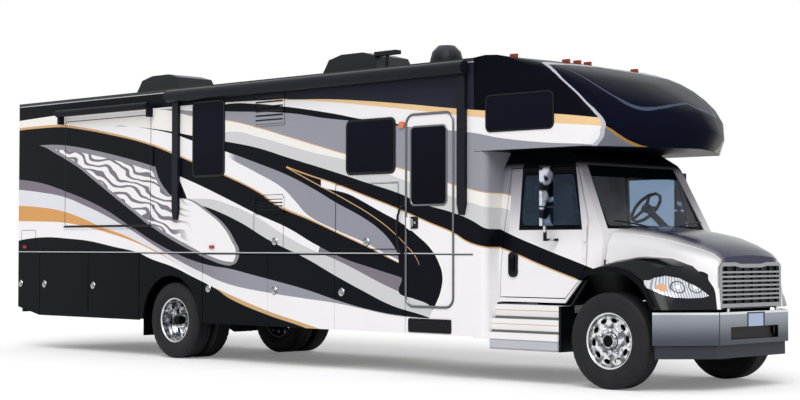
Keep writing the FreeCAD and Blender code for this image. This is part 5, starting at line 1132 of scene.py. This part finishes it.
# Corners of a slat: distance outside the wall's face, and share of the slats' pitch
slat_section = ((0.001, 0.8), (0.001, 0.55), (0.012, 0.1), (0.012, 0.65))

# Locks: profile as radius and distance outside the wall's face, and the places of the fixed ones
lock_profile = ((0.0, -0.001), (0.05, -0.001), (0.052, 0.006), (0.045, 0.013), (0.035, 0.009),
                (0.018, 0.009), (0.015, 0.016), (0.0, 0.016))
lock_steps = 40
lock_inset = 0.12
lock_z = 0.94
fixed_locks = ((-5.79, -1, lock_z), (-5.79, 1, lock_z), (-0.157, -1, 1.55), (1.467, -1, 1.54))

# Grab handle by the entry door
grab_points = ((2.085, -1.268, 1.40), (2.065, -1.31, 1.42), (2.04, -1.33, 1.52), (2.03, -1.333, 1.68),
               (2.04, -1.33, 1.84), (2.065, -1.31, 1.94), (2.085, -1.268, 1.96))
grab_radius = 0.014

# Cab door handle: outlines as along, height and corner radius, and how far out each lies
handle_outer = ((3.475, 3.61), (1.15, 1.43), 0.055)
handle_inner = ((3.505, 3.58), (1.185, 1.395), 0.036)
handle_rim_y = (1.038, 1.056)
handle_parts = ((((3.495, 3.59), (1.175, 1.405), 0.04), (1.04, 1.044)),
                (((3.522, 3.563), (1.2, 1.4), 0.018), (1.042, 1.062)))

# Entry lock, its keyhole and its keypad, and the porch lamp: outlines and places across
lock_outer = ((2.17, 2.31), (1.69, 1.83), 0.02)
lock_inner = ((2.185, 2.295), (1.705, 1.815), 0.012)
lock_rim_y = (-1.268, -1.282)
lock_plate = ((2.18, 2.30), (1.70, 1.82), 0.014)
lock_plate_y = (-1.268, -1.274)
lock_keys = (((2.195, 2.24), (1.715, 1.805), 0.012), ((2.25, 2.285), (1.745, 1.775), 0.012))
lock_keys_y = (-1.272, -1.284)
porch_lamp = ((2.02, 2.10), (2.86, 2.93), 0.02, 4)
porch_lamp_y = (-1.268, -1.295)

# Grille backing and posts, and the backing of the bumper's slot
grille_back_x = (5.884, 5.89)
grille_post_x = (5.888, 5.908)
grille_y = (-0.555, 0.555)
grille_z = (0.885, 1.3)
post_count = 6
post_first = -0.4
post_pitch = 0.16
post_half = 0.011
slot_section = ((-0.46, 0.46), (0.52, 0.67), 0.02, 3)
slot_x = (5.915, 5.93)

# Right wiper's points, with distance from the middle, and its radius
wiper_points = ((4.79, 0.22, 1.70), (4.775, 0.4, 1.728), (4.765, 0.62, 1.752), (4.755, 0.8, 1.763))
wiper_radius = 0.009


def add_frame(name, along, upward, radius, width, depth, finish, body, sides):
    mesh = bmesh.new()
    outer = rounded_loop(grown(along, width), grown(upward, width), radius + width)
    inner = rounded_loop(along, upward, radius)
    for side in sides:
        y0, y1 = (side * (half_width + out) for out in depth)
        frame_ring(mesh, outer, inner, y0, y1)
    finished(name, mesh, finish, body, frame_smooth)


def add_frames():
    """Frames and seams, then the sill and the joint that ride on the right slide room."""
    for row in frames:
        add_frame(*row)
    mesh = bmesh.new()
    slab(mesh, grown(slide_x, sill_reach), sill_y, sill_z)
    finished("slide_sill", mesh, "trim", "slide_right", 30)
    add_frame(*slide_joint)


def add_vents():
    """Slats over the two vents, and over the dark panel below the entry door."""
    for name, along, upward, count, finish in vents:
        mesh = bmesh.new()
        within = grown(upward, -vent_rim)
        inner = rounded_loop(grown(along, -vent_rim), within, vent_inner_radius, 3)
        frame_ring(mesh, rounded_loop(along, upward, vent_rim, 3), inner, *vent_y)
        pitch = (within[1] - within[0]) / count
        for slat in range(count):
            low = within[0] + pitch * slat
            section = [(-half_width - out, low + pitch * share) for out, share in slat_section]
            prism_along(mesh, section, *grown(along, -slat_inset))
        finished(name, mesh, finish, "root", 30)
    mesh = bmesh.new()
    slab(mesh, *louvre_back)
    finished("step_louvre_backing", mesh, "trim", "root", 30)


def add_locks():
    """Bright round locks on the storage doors and at fixed places of the wall."""
    spots = [(x, outward, "root", z) for x, outward, z in fixed_locks]
    for node in sorted(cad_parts):
        if node.startswith("baggage_door"):
            outward = -1 if "right" in node else 1
            spots.append((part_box(node)[0].x + lock_inset, outward, node, lock_z))
    for number, (x, outward, body, z) in enumerate(spots):
        mesh = bmesh.new()
        lathe(mesh, moved(lock_profile, half_width), Vector((x, 0, z)), outward, lock_steps)
        finished("lock_%d" % number, mesh, "chrome", body, 30)


def add_handles():
    tube("grab_handle", grab_points, grab_radius, "trim", "root")
    for side, outward in both_sides:
        mesh = bmesh.new()
        y0, y1 = (outward * y for y in handle_rim_y)
        frame_ring(mesh, rounded_loop(*handle_outer), rounded_loop(*handle_inner), y0, y1)
        for outline, depth in handle_parts:
            prism(mesh, rounded_loop(*outline), outward * depth[0], outward * depth[1])
        finished("cab_door_handle_" + side, mesh, "trim", "cab_door_" + side, 35)
    mesh = bmesh.new()
    frame_ring(mesh, rounded_loop(*lock_outer), rounded_loop(*lock_inner), *lock_rim_y)
    prism(mesh, rounded_loop(*lock_plate), *lock_plate_y)
    finished("entry_lock", mesh, "trim", "entry_door", 30)
    mesh = bmesh.new()
    for outline in lock_keys:
        prism(mesh, rounded_loop(*outline), *lock_keys_y)
    finished("entry_lock_keys", mesh, "chrome", "entry_door", 30)
    mesh = bmesh.new()
    prism(mesh, rounded_loop(*porch_lamp), *porch_lamp_y)
    finished("porch_lamp", mesh, "amber", "root", 40)


def add_front():
    """Dark backing and posts of the grille, the backing of the bumper's slot, and the wipers."""
    mesh = bmesh.new()
    slab(mesh, grille_back_x, grille_y, grille_z)
    for post in range(post_count):
        y = post_first + post_pitch * post
        slab(mesh, grille_post_x, (y - post_half, y + post_half), grille_z)
    finished("grille_backing", mesh, "trim", "hood", 30)
    mesh = bmesh.new()
    prism_along(mesh, rounded_loop(*slot_section), *slot_x)
    finished("bumper_slot_backing", mesh, "trim", "root", 30)
    for side, outward in both_sides:
        points = [(x, outward * y, z) for x, y, z in wiper_points]
        tube("wiper_" + side, points, wiper_radius, "trim", "root")


# Which CAD nodes take which material, beside the storage doors
dressed = {
    "coach": ("wall_right", "wall_left", "rear_wall", "storage_bays", "cab_surround", "slide_right",
              "slide_left", "hatch", "entry_door", "cab_door_right", "cab_door_left", "cab_shell"),
    "cap": ("front_cap",), "bonnet": ("hood",), "roof": ("coach_roof",), "clear": ("windshield",),
    "window": ("coach_windows", "entry_window", "slide_window"), "shroud": ("roof_units",),
    "door_glass": ("cab_door_glass_right", "cab_door_glass_left"), "awning": ("awning",),
    "trim": ("wall_vents", "steering_wheel"), "markers": ("lamps",), "steel": ("rear_bumper",),
    "bumper": ("front_bumper",), "dam": ("air_dam",), "chrome": ("grille",), "headlamp": ("headlamps",),
    "flare": ("fender_flares",), "steps": ("cab_steps",), "mirror": ("mirror_right", "mirror_left"),
    "satin": ("ladder",), "interior": ("cab_interior", "coach_floor", "television_box"),
    "frame": ("chassis_frame", "axles", "engine_block", "knuckle_right", "knuckle_left")}

# CAD nodes whose curved faces are shaded smooth, and the angle above which their edges stay sharp
smoothed = {"front_cap": 50, "hood": 38, "cab_shell": 38, "mirror_right": 38, "mirror_left": 38,
            "roof_units": 38, "headlamps": 38, "fender_flares": 38, "awning": 38, "slide_right": 38,
            "slide_left": 38, "cab_surround": 38}
weld_distance = 0.0004


def dress_nodes():
    doors = tuple(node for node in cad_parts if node.startswith("baggage_door"))
    for finish, nodes in dressed.items():
        for node in nodes + doors if finish == "coach" else nodes:
            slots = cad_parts[node].data.materials
            slots.clear()
            slots.append(materials[finish])


def smooth_nodes():
    """Smooth shading over the CAD facets, with the real edges kept sharp."""
    for node, angle in smoothed.items():
        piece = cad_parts[node]
        for face in piece.data.polygons:
            face.use_smooth = True
        weld = piece.modifiers.new("weld", "WELD")
        weld.merge_threshold = weld_distance
        sharp = piece.modifiers.new("edges", "EDGE_SPLIT")
        sharp.split_angle = math.radians(angle)


def add_studio():
    mesh = bpy.data.meshes.new("floor")
    half = floor_half
    mesh.from_pydata([(-half, -half, 0), (half, -half, 0), (half, half, 0), (-half, half, 0)], [],
                     [(0, 1, 2, 3)])
    floor = bpy.data.objects.new("floor", mesh)
    scene.collection.objects.link(floor)
    floor.data.materials.append(floor_material())
    data = bpy.data.lights.new("key", "SUN")
    data.energy = lamp_strength
    data.angle = lamp_softness
    lamp = bpy.data.objects.new("key", data)
    lamp.rotation_euler = lamp_from.to_track_quat("Z", "Y").to_euler()
    scene.collection.objects.link(lamp)


def add_room():
    """White room for the camera and for reflections, dimmer as light on the object."""
    world = bpy.data.worlds.new("studio")
    scene.world = world
    world.use_nodes = True
    nodes, links = world.node_tree.nodes, world.node_tree.links
    background = nodes["Background"]
    background.inputs["Color"].default_value = (1, 1, 1, 1)
    path = nodes.new("ShaderNodeLightPath")
    seen = path.outputs["Is Camera Ray"]
    for ray in ("Is Glossy Ray", "Is Transmission Ray"):
        either = nodes.new("ShaderNodeMath")
        either.operation = "MAXIMUM"
        links.new(seen, either.inputs[0])
        links.new(path.outputs[ray], either.inputs[1])
        seen = either.outputs[0]
    strength = nodes.new("ShaderNodeMapRange")
    links.new(seen, strength.inputs["Value"])
    strength.inputs["To Min"].default_value = room_strength
    strength.inputs["To Max"].default_value = 1.0
    links.new(strength.outputs["Result"], background.inputs["Strength"])


def add_camera():
    data = bpy.data.cameras.new("camera")
    data.lens = camera_lens
    data.sensor_width = camera_sensor
    data.clip_end = camera_reach
    camera = bpy.data.objects.new("camera", data)
    scene.collection.objects.link(camera)
    camera.location = camera_place
    camera.rotation_euler = Euler((math.radians(90) + camera_pitch, camera_roll, camera_turn), "XYZ")
    scene.camera = camera


dress_nodes()
smooth_nodes()
add_wheels()
add_frames()
add_vents()
add_handles()
add_locks()
add_front()
add_studio()
add_room()
add_camera()
